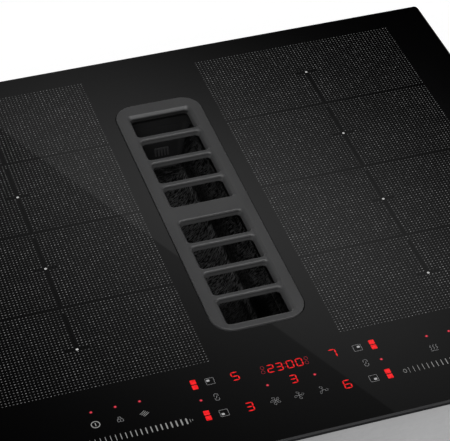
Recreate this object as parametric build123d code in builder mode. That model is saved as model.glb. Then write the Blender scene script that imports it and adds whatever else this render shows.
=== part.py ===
from build123d import *
import math
import os

# Downdraft induction cooktop, in millimetres. X runs to the right, Y to the back and Z up.
# The origin is in the middle of the cooktop, on the plane of the worktop that it is let into:
# the glass lies above Z = 0, the steel casing and the air box hang below it.

# ---------------------------------------------------------------- driving dimensions
# glass plate and its seat on the worktop
glass_width = 600
glass_depth = 520
glass_thick = 4
glass_corner = 4.5
glass_bevel = 1.2
seal_thick = 2
seal_width = 9
seal_inset = 3
bond_inset = 1

# intake grille, let into the middle of the glass
vent_y = 25.2
grille_width = 82
grille_length = 315.6
grille_corner = 19
grille_gap = 0.8
grille_proud = 1.5
grille_plate = 6
grille_skirt = 12
skirt_wall = 3
grille_round = 1.4
rim_side = 11.3
rim_front = 7.5
rim_rear = 15
slot_corner = 4
slot_draft = 22
bar_width = 5.9
bar_height = 4.4
bar_round = 1.6
bar_sink = 0.4
bar_pitch = 34.8
first_bar = 42.4
middle_bar = 20.4
pad_thick = 1
pad_length = 12
pad_inset = 0.2

# intake collar, bonded under the glass
bond_thick = 0.6
collar_wall = 2.2
collar_flange = 11
throat_margin = 3
filter_seat_depth = 24
filter_seat_ledge = 2.5
collar_drop = 52

# grease filter basket
filter_gap = 0.7
filter_rim = 2.5
filter_drop = 36
filter_side_draw = 11
filter_end_draw = 13.3
filter_corner = 9
mesh_thick = 1.5
frame_thick = 1.2
upper_window = 5
middle_rail = 13
corner_rail = 3
frame_ribs = 5
frame_rib = 5
grip_width = 13.5
grip_height = 10
grip_thick = 3
grip_share = 0.44
ridge_thick = 1.4
ridge_pitch = 3
ridge_inset = 1

# steel tub with the coils and the electronics
overhang_side = 23
overhang_front = 17
tub_drop = 70
tub_corner = 6
tub_lip = 10
sheet = 1
tub_seam = 0.05
bracket_hole = 4.5
bracket_hole_inset = 9
louvre_height = 22
louvre_width = 3.2
louvre_pitch = 9
louvre_raise = 4
rear_louvres_right = 16
rear_louvres_left = 12
side_louvres = 12

# coils, one half of the cooktop; the other half is its mirror image
zone_gap = 15
zone_side_inset = 46
zone_front_inset = 99.6
zone_rear_inset = 26
sections = 4
coil_margin = 5.5
coil_band = 27
coil_corner = 34
coil_thick = 5
mica_thick = 0.8
mica_inset = 2
mica_corner = 4
former_thick = 2
former_rim = 3
former_edge = 1
former_gap = 0.5
ferrite_thick = 4
ferrite_width = 14
ferrite_length = 66
ferrites = 4
carrier_thick = 1.5
carrier_margin = 4
carrier_corner = 6
carrier_hole = 9
leg_width = 24
leg_foot = 14
leg_inset = 14
leg_fan_gap = 22
sensor_radius = 4
sensor_wall = 2.5

# power electronics and cooling
board_width = 190
board_length = 186
board_thick = 1.6
board_y = 38
board_inset = 4
standoff_height = 5
standoff_radius = 4
standoff_inset = 8
heatsink_width = 50
heatsink_length = 150
heatsink_height = 34
heatsink_base = 4
heatsink_place = 48
fin_thick = 1.8
fins = 8
capacitor_radius = 14
capacitor_height = 30
capacitor_gap = 8
capacitor_place = 58
capacitors = 4
transformer_width = 34
transformer_length = 44
transformer_height = 26
transformer_place = 46
choke_radius = 19
choke_hole = 8
choke_height = 15
choke_place = 40
inner_parts_place = 12
fan_size = 80
fan_thick = 25
fan_bore = 37.5
fan_hub = 17
fan_corner = 5
fan_hole = 2.2
fan_hole_inset = 4.5
fan_blades = 7
fan_blade_angle = 38
fan_blade_width = 20
fan_blade_thick = 1.4
fan_tip_gap = 2
fan_stub = 3
fan_stub_gap = 5
fan_side_gap = 14
fan_front_gap = 8
spider_thick = 2
spider_arm = 4
rotor_under_gap = 0.5
rotor_top_gap = 2
rotor_hub_step = 1
intake_pitch = 8
intake_slot = 3.6
intake_arc = 62
intake_rings = 4
shaft_clear = 0.05
terminal_width = 64
terminal_depth = 36
terminal_height = 24
terminal_gap = 14
terminal_poles = 6
terminal_wall = 2.4
terminal_pocket = 7
terminal_screw = 3
terminal_screw_depth = 10
bush_inset = 87
bush_bore = 5.5
bush_radius = 10
bush_flange = 3
bush_rim = 4
bush_reach = 7
bush_height = 28

# touch control behind the front edge of the glass
touch_width = 384
touch_depth = 56
touch_inset = 32
guide_thick = 4.5
guide_inset = 3
guide_window = 30
guide_windows = 7
guide_pitch = 46
touch_board_thick = 1.6
bracket_thick = 1.2
bracket_edge = 1
bracket_leg = 20

# air box, fan and outlet
neck_wall = 2.5
neck_gap = 2
neck_height = 38
neck_clear = 1.2
box_wall = 2.5
box_height = 135
box_margin = 11
box_rear_margin = 8
box_corner = 22
box_foot_round = 5
parting = 65
rib_depth = 1.6
rib_thick = 2.4
rib_pitch = 36
ear_radius = 6
ear_height = 8
ear_clear = 0.5
wheel_x = 150
wheel_y = -22
wheel_radius = 72
wheel_gap = 7.5
wheel_ring = 2.5
wheel_rim_step = 1
disc_thick = 2
hub_radius = 12
hub_height = 8
wheel_blades = 36
blade_thick = 1.2
blade_length = 13
blade_angle = 28
tongue_gap = 7
scroll_step = 8.5
scroll_wall = 2.5
scroll_gap = 2.5
mouth_length = 6
posts = 3
outlet_post_inset = 30
eye_radius = 57
duct_width = 218
duct_height = 85
duct_wall = 2
duct_flange = 5.5
duct_flange_thick = 2.5
shaft_radius = 4
bearing_radius = 8
bearing_width = 5
motor_tube_wall = 3
stator_radius = 31
stator_height = 22
stator_teeth = 12
stator_slot_inset = 8
stator_slot_length = 11
stator_slot_width = 4
rotor_gap = 0.8
rotor_wall = 3
shaft_proud = 1
mount_arm = 12
mount_arms = 3
mount_arm_angle = 30
mount_arm_margin = 8
mount_thick = 2.5
bush_thick = 2
flap_thick = 1.5
flap_pin = 2
flap_gap = 1
flap_set_back = 14
flap_end_gap = 2.8
knuckle_wall = 1.4
knuckle_gap = 1
knuckles = 6
leaf_gap = 0.4
tray_width = 54
tray_length = 268
tray_depth = 36
tray_wall = 2
tray_corner = 9
tray_gap = 1
lip_width = 24
lip_depth = 14
fence_height = 6
shaft_seal_raise = 1
shaft_seal_height = 8

# fasteners
clip_width = 22
clip_thick = 0.8
clip_bow = 3.2
clip_y = 140
clip_raise = 8
clip_foot = 14
clip_top_gap = 10
clip_tip_gap = 0.3
screw_radius = 1.9
screw_head = 3.8
screw_head_thick = 2.2

# ---------------------------------------------------------------- levels and shared places
glass_under = seal_thick
glass_top_z = glass_under + glass_thick
grille_top = glass_top_z + grille_proud
grille_bottom = grille_top - grille_skirt
hole_width = grille_width + 2 * grille_gap
hole_length = grille_length + 2 * grille_gap
hole_corner = grille_corner + grille_gap
slot_width = grille_width - 2 * rim_side
slot_field = grille_length - rim_front - rim_rear
duct_y = vent_y + (rim_front - rim_rear) / 2

collar_top = glass_under - bond_thick
ledge_top = grille_bottom - pad_thick
throat_width = slot_width + 2 * throat_margin
throat_length = slot_field + 2 * throat_margin
throat_corner = slot_corner + throat_margin
filter_seat = glass_top_z - filter_seat_depth
collar_bottom = glass_top_z - collar_drop

tub_width = glass_width - 2 * overhang_side
tub_depth = glass_depth - 2 * overhang_front
tub_top = glass_under - bond_thick
tub_bottom = -tub_drop
floor_top = tub_bottom + sheet
inner_x = tub_width / 2 - sheet
inner_y = tub_depth / 2 - sheet
bush_x = tub_width / 2 - bush_inset

zone_inner = grille_width / 2 + zone_gap
zone_outer = glass_width / 2 - zone_side_inset
zone_width = zone_outer - zone_inner
zone_x = (zone_inner + zone_outer) / 2
zone_length = glass_depth - zone_front_inset - zone_rear_inset
zone_y = (zone_front_inset - zone_rear_inset) / 2
section_length = zone_length / sections
mica_under = glass_under - mica_thick
coil_under = mica_under - coil_thick
former_top = mica_under - former_edge
former_under = coil_under - former_thick
ferrite_under = former_under - ferrite_thick
carrier_under = ferrite_under - carrier_thick
coil_width = zone_width - 2 * coil_margin
coil_length = section_length - 2 * coil_margin
carrier_width = zone_width + 2 * carrier_margin
carrier_length = zone_length + carrier_margin
board_x = zone_inner + board_inset + board_width / 2
board_top = floor_top + standoff_height + board_thick
fan_x = inner_x - fan_side_gap - fan_size / 2
fan_y = -(inner_y - fan_front_gap - fan_size / 2)
touch_y = -glass_depth / 2 + touch_inset + touch_depth / 2
guide_under = glass_under - guide_thick
touch_board_under = guide_under - touch_board_thick

neck_width = throat_width + 2 * (collar_wall + neck_gap)
neck_length = throat_length + 2 * (collar_wall + neck_gap)
neck_corner = throat_corner + collar_wall + neck_gap
box_top = tub_bottom
box_bottom = box_top - box_height
box_floor = box_bottom + box_wall
tongue_radius = wheel_radius + tongue_gap
scroll_right = wheel_x + tongue_radius + 3 * scroll_step
box_left = -(neck_width / 2 + neck_wall + box_margin)
box_right = scroll_right + scroll_wall + scroll_gap + box_wall
box_front = duct_y - neck_length / 2 - neck_wall - box_margin
box_rear = duct_y + neck_length / 2 + neck_wall + box_rear_margin
box_width = box_right - box_left
box_length = box_rear - box_front
box_x = (box_right + box_left) / 2
box_y = (box_rear + box_front) / 2
part_line = box_bottom + parting
scroll_z = (box_top + box_bottom) / 2
scroll_height = duct_height - 2 * duct_wall
scroll_top = scroll_z + scroll_height / 2
scroll_bottom = scroll_z - scroll_height / 2
duct_inner_width = duct_width - 2 * duct_wall
duct_x = scroll_right - duct_inner_width / 2
wheel_height = scroll_height - 2 * wheel_gap
disc_top = scroll_z + disc_thick / 2
disc_under = scroll_z - disc_thick / 2
mount_under = scroll_top + scroll_wall + bush_thick
motor_tube_radius = bearing_radius + motor_tube_wall
rotor_inner = stator_radius + rotor_gap
rotor_floor = disc_top + rotor_wall
stator_under = rotor_floor + rotor_gap
flap_reach = scroll_height / 2 - flap_gap
flap_y = box_rear + flap_set_back
duct_end = flap_y + flap_reach + flap_end_gap

sides = (("left", -1), ("right", 1))


def rounded_block(width, length, corner, low, high, x=0, y=0):
    """An upright block with rounded corners between two levels."""
    with BuildPart() as block:
        with BuildSketch(Plane.XY.offset(low)):
            with Locations((x, y)):
                RectangleRounded(width, length, corner)
        extrude(amount=high - low)
    return block.part


def ring_block(width, length, corner, band, low, high, x=0, y=0):
    """An upright ring with rounded corners, as wide as band, between two levels."""
    with BuildPart() as ring:
        add(rounded_block(width, length, corner, low, high, x, y))
        inner_corner = max(corner - band, 0.5)
        add(
            rounded_block(width - 2 * band, length - 2 * band, inner_corner, low, high, x, y),
            mode=Mode.SUBTRACT,
        )
    return ring.part


# ---------------------------------------------------------------- glass and its seals
with BuildPart() as glass_top:
    with BuildSketch(Plane.XY.offset(glass_under)):
        RectangleRounded(glass_width, glass_depth, glass_corner)
        with Locations((0, vent_y)):
            RectangleRounded(hole_width, hole_length, hole_corner, mode=Mode.SUBTRACT)
    extrude(amount=glass_thick)
    chamfer(glass_top.faces().sort_by(Axis.Z)[-1].outer_wire().edges(), glass_bevel)

with BuildPart() as worktop_gasket:
    add(
        ring_block(
            glass_width - 2 * seal_inset,
            glass_depth - 2 * seal_inset,
            glass_corner,
            seal_width,
            0,
            seal_thick,
        )
    )

with BuildPart() as glass_bond:
    add(
        ring_block(
            tub_width - 2 * bond_inset,
            tub_depth - 2 * bond_inset,
            tub_corner,
            tub_lip - 2 * bond_inset,
            tub_top,
            glass_under,
        )
    )

# ---------------------------------------------------------------- intake grille
# A cast plate with a skirt that drops through the glass onto the collar's ledge.
with BuildPart() as intake_grille:
    with BuildSketch(Plane.XY.offset(grille_bottom)):
        with Locations((0, vent_y)):
            RectangleRounded(grille_width, grille_length, grille_corner)
    extrude(amount=grille_skirt)
    fillet(intake_grille.faces().sort_by(Axis.Z)[-1].outer_wire().edges(), grille_round)
    with BuildSketch(Plane.XY.offset(grille_bottom)):
        with Locations((0, vent_y)):
            RectangleRounded(
                grille_width - 2 * skirt_wall,
                grille_length - 2 * skirt_wall,
                grille_corner - skirt_wall,
            )
    extrude(amount=grille_skirt - grille_plate, mode=Mode.SUBTRACT)
    with BuildSketch(Plane.XY.offset(grille_top)):
        with Locations((0, duct_y)):
            RectangleRounded(slot_width, slot_field, slot_corner)
    extrude(amount=-grille_plate, taper=slot_draft, mode=Mode.SUBTRACT)
    bar_places = [
        side * (first_bar + step * bar_pitch)
        for side in (-1, 1)
        for step in range(3)
    ]
    with BuildSketch(Plane.YZ.offset(-slot_width / 2 - bar_round)) as bar_ends:
        with Locations(*[(duct_y + place, grille_top - bar_sink - bar_height / 2) for place in bar_places]):
            Rectangle(bar_width, bar_height)
        fillet(bar_ends.vertices().group_by(Axis.Z)[-1], bar_round)
    extrude(amount=slot_width + 2 * bar_round)
    with BuildSketch(Plane.YZ.offset(-slot_width / 2 - bar_round)) as middle_end:
        with Locations((duct_y, grille_top - grille_plate / 2)):
            Rectangle(middle_bar, grille_plate)
        fillet(middle_end.vertices().group_by(Axis.Z)[-1], grille_round / 2)
    extrude(amount=slot_width + 2 * bar_round)

# Six soft pads under the skirt keep the grille from rattling on the ledge.
pad_x = grille_width / 2 - skirt_wall / 2
with BuildPart() as grille_pads:
    with BuildSketch(Plane.XY.offset(ledge_top)):
        with Locations((0, vent_y)):
            with GridLocations(2 * pad_x, grille_length / 3, 2, 3):
                Rectangle(skirt_wall - 2 * pad_inset, pad_length)
    extrude(amount=pad_thick)

# ---------------------------------------------------------------- intake collar and its bond
pocket_width = hole_width + 2 * collar_wall
pocket_length = hole_length + 2 * collar_wall
pocket_corner = hole_corner + collar_wall
with BuildPart() as intake_collar:
    add(
        rounded_block(
            hole_width + 2 * collar_flange,
            hole_length + 2 * collar_flange,
            hole_corner + collar_flange,
            collar_top - collar_wall,
            collar_top,
            0,
            vent_y,
        )
    )
    add(
        rounded_block(
            pocket_width, pocket_length, pocket_corner, ledge_top - collar_wall, collar_top, 0, vent_y
        )
    )
    add(
        rounded_block(
            throat_width + 2 * collar_wall,
            throat_length + 2 * collar_wall,
            throat_corner + collar_wall,
            collar_bottom,
            ledge_top,
            0,
            duct_y,
        )
    )
    with BuildSketch(Plane.XY.offset(ledge_top)):
        with Locations((0, vent_y)):
            RectangleRounded(hole_width, hole_length, hole_corner)
    extrude(amount=collar_top - ledge_top, mode=Mode.SUBTRACT)
    with BuildSketch(Plane.XY.offset(filter_seat)):
        with Locations((0, duct_y)):
            RectangleRounded(throat_width, throat_length, throat_corner)
    extrude(amount=ledge_top - filter_seat, mode=Mode.SUBTRACT)
    with BuildSketch(Plane.XY.offset(filter_seat - collar_wall)):
        with Locations((0, duct_y)):
            RectangleRounded(
                throat_width - 2 * filter_seat_ledge,
                throat_length - 2 * filter_seat_ledge,
                throat_corner - filter_seat_ledge,
            )
    extrude(amount=collar_wall, mode=Mode.SUBTRACT)
    with BuildSketch(Plane.XY.offset(collar_bottom)):
        with Locations((0, duct_y)):
            RectangleRounded(throat_width, throat_length, throat_corner)
    extrude(amount=filter_seat - collar_wall - collar_bottom, mode=Mode.SUBTRACT)

with BuildPart() as collar_seal:
    add(
        ring_block(
            hole_width + 2 * collar_flange,
            hole_length + 2 * collar_flange,
            hole_corner + collar_flange,
            collar_flange - bond_inset,
            collar_top,
            glass_under,
            0,
            vent_y,
        )
    )

# ---------------------------------------------------------------- grease filter
# A tapering basket hung by its rim in the collar: metal mesh outside, a stamped frame inside.
basket_width = throat_width - 2 * (filter_seat_ledge + filter_gap)
basket_length = throat_length - 2 * (filter_seat_ledge + filter_gap)
basket_bottom = filter_seat - filter_drop


def basket(inset, low):
    """The filter's tapering form, shrunk by an inset, down to a level."""
    share = (filter_seat - low) / filter_drop
    with BuildPart() as form:
        with BuildSketch(Plane.XY.offset(filter_seat)):
            with Locations((0, duct_y)):
                RectangleRounded(
                    basket_width - 2 * inset, basket_length - 2 * inset, filter_corner - inset
                )
        with BuildSketch(Plane.XY.offset(low)):
            with Locations((0, duct_y)):
                RectangleRounded(
                    basket_width - 2 * (inset + filter_side_draw * share),
                    basket_length - 2 * (inset + filter_end_draw * share),
                    filter_corner - inset,
                )
        loft()
    return form.part


frame_inset = mesh_thick + frame_thick
mesh_floor = basket_bottom + mesh_thick
frame_floor = mesh_floor + frame_thick
with BuildPart() as filter_mesh:
    add(basket(0, basket_bottom))
    add(basket(mesh_thick, mesh_floor), mode=Mode.SUBTRACT)

with BuildPart() as filter_frame:
    add(basket(mesh_thick, mesh_floor))
    add(basket(frame_inset, frame_floor), mode=Mode.SUBTRACT)
    # windows: a low row under the rim, a tall row above the floor and one row in the floor
    window_pitch = (basket_length - 2 * filter_end_draw - 2 * filter_corner) / frame_ribs
    window_length = window_pitch - frame_rib
    upper_window_z = filter_seat - frame_thick - upper_window / 2
    lower_window_top = filter_seat - frame_thick - upper_window - middle_rail
    lower_window = lower_window_top - frame_floor - corner_rail
    with Locations((0, duct_y, upper_window_z)):
        with GridLocations(0, window_pitch, 1, frame_ribs):
            Box(basket_width + 2, window_length, upper_window, mode=Mode.SUBTRACT)
    with Locations((0, duct_y, lower_window_top - lower_window / 2)):
        with GridLocations(0, window_pitch, 1, frame_ribs):
            Box(basket_width + 2, window_length, lower_window, mode=Mode.SUBTRACT)
    floor_window = basket_width - 2 * (frame_inset + filter_side_draw + corner_rail)
    with Locations((0, duct_y, mesh_floor + frame_thick / 2)):
        with GridLocations(0, window_pitch, 1, frame_ribs):
            Box(floor_window, window_length, frame_thick + 1, mode=Mode.SUBTRACT)
    # the rim that hangs on the collar's ledge
    with BuildSketch(Plane.XY.offset(filter_seat)):
        with Locations((0, duct_y)):
            RectangleRounded(
                throat_width - 2 * filter_gap, throat_length - 2 * filter_gap, throat_corner - filter_gap
            )
            RectangleRounded(
                basket_width - 2 * frame_inset,
                basket_length - 2 * frame_inset,
                filter_corner - frame_inset,
                mode=Mode.SUBTRACT,
            )
    extrude(amount=filter_rim)

# The ribbed finger grip on the filter's rear end wall.
grip_z = filter_seat - filter_drop * grip_share
grip_y = duct_y + basket_length / 2 - frame_inset - filter_end_draw * grip_share
grip_lean = math.degrees(math.atan2(filter_end_draw, filter_drop))
grip_place = (0, grip_y - grip_thick / 2 / math.cos(math.radians(grip_lean)), grip_z)
grip_ridges = [(step * ridge_pitch, -grip_thick / 2, 0) for step in (-1.5, -0.5, 0.5, 1.5)]
with BuildPart() as filter_grip:
    with Locations(Location(grip_place, (-grip_lean, 0, 0))):
        Box(grip_width, grip_thick, grip_height)
        with Locations(*grip_ridges):
            Box(ridge_thick, ridge_thick, grip_height - 2 * ridge_inset)

# ---------------------------------------------------------------- steel tub
neck_hole_width = neck_width + 2 * (neck_wall + neck_clear)
neck_hole_length = neck_length + 2 * (neck_wall + neck_clear)
neck_hole_corner = neck_corner + neck_wall + neck_clear
bush_z = floor_top + bush_height
with BuildPart() as base_tub:
    add(rounded_block(tub_width, tub_depth, tub_corner, tub_bottom, tub_top))
    add(
        rounded_block(
            tub_width - 2 * sheet,
            tub_depth - 2 * sheet,
            tub_corner - sheet,
            floor_top,
            tub_top - sheet,
        ),
        mode=Mode.SUBTRACT,
    )
    add(
        rounded_block(
            tub_width - 2 * tub_lip, tub_depth - 2 * tub_lip, tub_corner, tub_top - sheet, tub_top
        ),
        mode=Mode.SUBTRACT,
    )
    # the opening that the air box's neck stands in
    with BuildSketch(Plane.XY.offset(tub_bottom)):
        with Locations((0, duct_y)):
            RectangleRounded(neck_hole_width, neck_hole_length, neck_hole_corner)
    extrude(amount=sheet, mode=Mode.SUBTRACT)
    # curved air intakes under the two cooling fans, and the holes for support brackets
    with BuildSketch(Plane.XY.offset(tub_bottom)):
        for name, side in sides:
            with Locations((side * fan_x, fan_y)):
                for ring in range(1, intake_rings + 1):
                    for quarter in range(4):
                        arc = CenterArc(
                            (0, 0), ring * intake_pitch, 90 * quarter + 45 - intake_arc / 2, intake_arc
                        )
                        SlotArc(arc, intake_slot)
        with GridLocations(
            tub_width - 2 * bracket_hole_inset, tub_depth - 2 * bracket_hole_inset, 2, 2
        ):
            Circle(bracket_hole / 2)
    extrude(amount=sheet, mode=Mode.SUBTRACT)
    # louvres in the rear wall and in both side walls let the warm air out
    louvre_z = (floor_top + tub_top) / 2 + louvre_raise
    with Locations((inner_x / 2, inner_y, louvre_z)):
        with GridLocations(louvre_pitch, 0, rear_louvres_right, 1):
            Box(louvre_width, 4 * sheet, louvre_height, mode=Mode.SUBTRACT)
    with Locations((-inner_x / 3, inner_y, louvre_z)):
        with GridLocations(louvre_pitch, 0, rear_louvres_left, 1):
            Box(louvre_width, 4 * sheet, louvre_height, mode=Mode.SUBTRACT)
    with Locations((0, board_y, louvre_z)):
        with GridLocations(0, louvre_pitch, 1, side_louvres):
            Box(tub_width + 2, louvre_width, louvre_height, mode=Mode.SUBTRACT)
    # the hole for the mains lead's bush
    with Locations(Location((-bush_x, inner_y, bush_z), (90, 0, 0))):
        Cylinder(bush_radius, 6 * sheet, mode=Mode.SUBTRACT)
    # the floor and the four walls are sheets of their own, spot-welded along these seams
    with Locations((0, 0, floor_top + tub_seam / 2)):
        Box(tub_width + 2, tub_depth + 2, tub_seam, mode=Mode.SUBTRACT)
    with Locations((0, 0, (floor_top + tub_top) / 2)):
        with GridLocations(tub_width - 3 * tub_lip, 0, 2, 1):
            Box(tub_seam, tub_depth + 2, tub_top - floor_top, mode=Mode.SUBTRACT)

with BuildPart() as mains_bush:
    with Locations(Location((-bush_x, inner_y + sheet + bush_flange / 2, bush_z), (90, 0, 0))):
        Cylinder(bush_radius + bush_rim, bush_flange)
    with Locations(Location((-bush_x, inner_y + (sheet - bush_reach) / 2, bush_z), (90, 0, 0))):
        Cylinder(bush_radius, bush_reach + sheet)
    with Locations(Location((-bush_x, inner_y, bush_z), (90, 0, 0))):
        Cylinder(bush_bore, 4 * bush_reach, mode=Mode.SUBTRACT)

with BuildPart() as terminal_block:
    terminal_pitch = terminal_width / terminal_poles
    terminal_y = inner_y - terminal_gap - terminal_depth / 2
    with Locations((-bush_x, terminal_y, floor_top + terminal_height / 2)):
        Box(terminal_width, terminal_depth, terminal_height)
        with Locations((0, terminal_depth / 4, terminal_height / 2)):
            with GridLocations(terminal_pitch, 0, terminal_poles, 1):
                Box(
                    terminal_pitch - terminal_wall,
                    terminal_depth / 3,
                    2 * terminal_pocket,
                    mode=Mode.SUBTRACT,
                )
        with Locations((0, -terminal_depth / 4, terminal_height / 2)):
            with GridLocations(terminal_pitch, 0, terminal_poles, 1):
                Cylinder(terminal_screw, 2 * terminal_screw_depth, mode=Mode.SUBTRACT)

# ---------------------------------------------------------------- coils, in two halves
coil_ys = [zone_y + (number - (sections - 1) / 2) * section_length for number in range(sections)]
coils = {}
coil_formers = {}
coil_carriers = {}
mica_sheets = {}
for name, side in sides:
    x = side * zone_x
    for number, y in enumerate(coil_ys, start=1):
        with BuildPart() as coil:
            add(
                ring_block(coil_width, coil_length, coil_corner, coil_band, coil_under, mica_under, x, y)
            )
        coils[f"coil_{name}_{number}"] = coil

    with BuildPart() as former:
        for y in coil_ys:
            add(
                rounded_block(
                    coil_width + 2 * former_edge,
                    coil_length + 2 * former_edge,
                    coil_corner + former_edge,
                    former_under,
                    coil_under,
                    x,
                    y,
                )
            )
            add(
                ring_block(
                    coil_width - 2 * (coil_band + former_gap),
                    coil_length - 2 * (coil_band + former_gap),
                    coil_corner - coil_band - former_gap,
                    former_rim,
                    coil_under,
                    former_top,
                    x,
                    y,
                )
            )
            with Locations((x, y, (coil_under + former_top) / 2)):
                Cylinder(sensor_radius + sensor_wall, former_top - coil_under)
            with Locations((x, y, former_under)):
                Cylinder(sensor_radius, 4 * coil_thick, mode=Mode.SUBTRACT)
    coil_formers[f"coil_formers_{name}"] = former

    with BuildPart() as carrier:
        add(
            rounded_block(
                carrier_width, carrier_length, carrier_corner, carrier_under, ferrite_under, x, zone_y
            )
        )
        for y in coil_ys:
            with Locations((x, y, ferrite_under)):
                Cylinder(carrier_hole, 4 * carrier_thick, mode=Mode.SUBTRACT)
        # folded legs stand on the tub's floor, the front ones beside the cooling fan
        leg_height = carrier_under - floor_top
        front_y = zone_y - carrier_length / 2
        rear_y = zone_y + carrier_length / 2
        front_legs = (zone_inner + leg_inset, fan_x - (fan_size + leg_width) / 2 - leg_fan_gap)
        rear_legs = (zone_inner + leg_inset, zone_outer - leg_inset)
        for legs, edge, inward in ((front_legs, front_y, 1), (rear_legs, rear_y, -1)):
            for leg_x in legs:
                with Locations((side * leg_x, edge + inward * carrier_thick / 2, floor_top + leg_height / 2)):
                    Box(leg_width, carrier_thick, leg_height)
                with Locations(
                    (side * leg_x, edge + inward * leg_foot / 2, floor_top + carrier_thick / 2)
                ):
                    Box(leg_width, leg_foot, carrier_thick)
    coil_carriers[f"coil_carrier_{name}"] = carrier

    with BuildPart() as mica:
        add(
            rounded_block(
                zone_width,
                zone_length - 2 * mica_inset,
                mica_corner,
                mica_under,
                glass_under,
                x,
                zone_y,
            )
        )
    mica_sheets[f"insulation_sheet_{name}"] = mica

with BuildPart() as coil_ferrites:
    with BuildSketch(Plane.XY.offset(ferrite_under)):
        for name, side in sides:
            for y in coil_ys:
                with Locations((side * zone_x, y)):
                    with GridLocations(coil_width / ferrites, 0, ferrites, 1):
                        Rectangle(ferrite_width, ferrite_length)
    extrude(amount=ferrite_thick)

with BuildPart() as coil_sensors:
    with BuildSketch(Plane.XY.offset(former_under)):
        for name, side in sides:
            with Locations(*[(side * zone_x, y) for y in coil_ys]):
                Circle(sensor_radius)
    extrude(amount=mica_under - former_under)

# ---------------------------------------------------------------- power boards and cooling
on_top = (Align.CENTER, Align.CENTER, Align.MIN)
power_boards = {}
heatsinks = {}
fan_frames = {}
fan_rotors = {}
for name, side in sides:
    with BuildPart() as board:
        with Locations((side * board_x, board_y, board_top - board_thick / 2)):
            Box(board_width, board_length, board_thick)
        with Locations((side * (board_x - capacitor_place), board_y, board_top)):
            with GridLocations(0, 2 * capacitor_radius + capacitor_gap, 1, capacitors):
                Cylinder(capacitor_radius, capacitor_height, align=on_top)
        with Locations((side * (board_x - inner_parts_place), board_y - transformer_place, board_top)):
            Box(transformer_width, transformer_length, transformer_height, align=on_top)
        with Locations((side * (board_x - inner_parts_place), board_y + choke_place, board_top)):
            Cylinder(choke_radius, choke_height, align=on_top)
            Cylinder(choke_hole, choke_height, align=on_top, mode=Mode.SUBTRACT)
    power_boards[f"power_board_{name}"] = board

    with BuildPart() as heatsink:
        with Locations((side * (board_x + heatsink_place), board_y, board_top + heatsink_base / 2)):
            Box(heatsink_width, heatsink_length, heatsink_base)
        with Locations((side * (board_x + heatsink_place), board_y, board_top + heatsink_height / 2)):
            with GridLocations((heatsink_width - fin_thick) / (fins - 1), 0, fins, 1):
                Box(fin_thick, heatsink_length, heatsink_height)
    heatsinks[f"heatsink_{name}"] = heatsink

    with BuildPart() as frame:
        with BuildSketch(Plane.XY.offset(floor_top)):
            with Locations((side * fan_x, fan_y)):
                RectangleRounded(fan_size, fan_size, fan_corner)
                Circle(fan_bore, mode=Mode.SUBTRACT)
                with GridLocations(fan_size - 2 * fan_hole_inset, fan_size - 2 * fan_hole_inset, 2, 2):
                    Circle(fan_hole, mode=Mode.SUBTRACT)
        extrude(amount=fan_thick)
        with BuildSketch(Plane.XY.offset(floor_top)):
            with Locations((side * fan_x, fan_y)):
                Circle(fan_hub)
                for angle in (0, 90):
                    Rectangle(2 * fan_bore + fan_tip_gap, spider_arm, rotation=angle)
        extrude(amount=spider_thick)
        with BuildSketch(Plane.XY.offset(floor_top)):
            with Locations((side * fan_x, fan_y)):
                Circle(fan_stub)
        extrude(amount=fan_thick - fan_stub_gap)
    fan_frames[f"cooling_fan_frame_{name}"] = frame

    hub_low = floor_top + spider_thick + rotor_under_gap
    hub_high = floor_top + fan_thick - rotor_top_gap
    with BuildPart() as rotor:
        with BuildSketch(Plane.XY.offset(hub_low)):
            with Locations((side * fan_x, fan_y)):
                Circle(fan_hub - rotor_hub_step)
        extrude(amount=hub_high - hub_low)
        with Locations((side * fan_x, fan_y, (hub_low + hub_high) / 2)):
            with PolarLocations(0, fan_blades):
                blade_middle = (fan_hub + fan_bore) / 2 - fan_tip_gap
                with Locations(Location((blade_middle, 0, 0), (fan_blade_angle, 0, 0))):
                    Box(fan_bore - fan_hub, fan_blade_width, fan_blade_thick)
        with BuildSketch(Plane.XY.offset(hub_low)):
            with Locations((side * fan_x, fan_y)):
                Circle(fan_stub + shaft_clear)
        extrude(amount=fan_thick - fan_stub_gap - spider_thick, mode=Mode.SUBTRACT)
    fan_rotors[f"cooling_fan_rotor_{name}"] = rotor

with BuildPart() as board_standoffs:
    with BuildSketch(Plane.XY.offset(floor_top)):
        for name, side in sides:
            with Locations((side * board_x, board_y)):
                with GridLocations(board_width - 2 * standoff_inset, board_length - 2 * standoff_inset, 2, 2):
                    Circle(standoff_radius)
    extrude(amount=standoff_height)

# ---------------------------------------------------------------- touch control
with BuildPart() as light_guide:
    with Locations((0, touch_y, (guide_under + glass_under) / 2)):
        Box(touch_width - 2 * guide_inset, touch_depth - 2 * guide_inset, guide_thick)
        with GridLocations(guide_pitch, 0, guide_windows, 1):
            Box(guide_window, guide_window, guide_thick, mode=Mode.SUBTRACT)

with BuildPart() as touch_board:
    with Locations((0, touch_y, guide_under - touch_board_thick / 2)):
        Box(touch_width, touch_depth, touch_board_thick)

with BuildPart() as touch_bracket:
    plate_under = touch_board_under - bracket_thick
    with Locations((0, touch_y, touch_board_under - bracket_thick / 2)):
        Box(touch_width + 2 * bracket_edge, touch_depth + 2 * bracket_edge, bracket_thick)
    leg_tall = plate_under - floor_top
    for side in (-1, 1):
        leg_place = side * touch_width / 3
        with Locations((leg_place, touch_y, floor_top + leg_tall / 2)):
            Box(bracket_thick, bracket_leg, leg_tall)
        with Locations((leg_place - side * bracket_leg / 2, touch_y, floor_top + bracket_thick / 2)):
            Box(bracket_leg, bracket_leg, bracket_thick)

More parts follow.
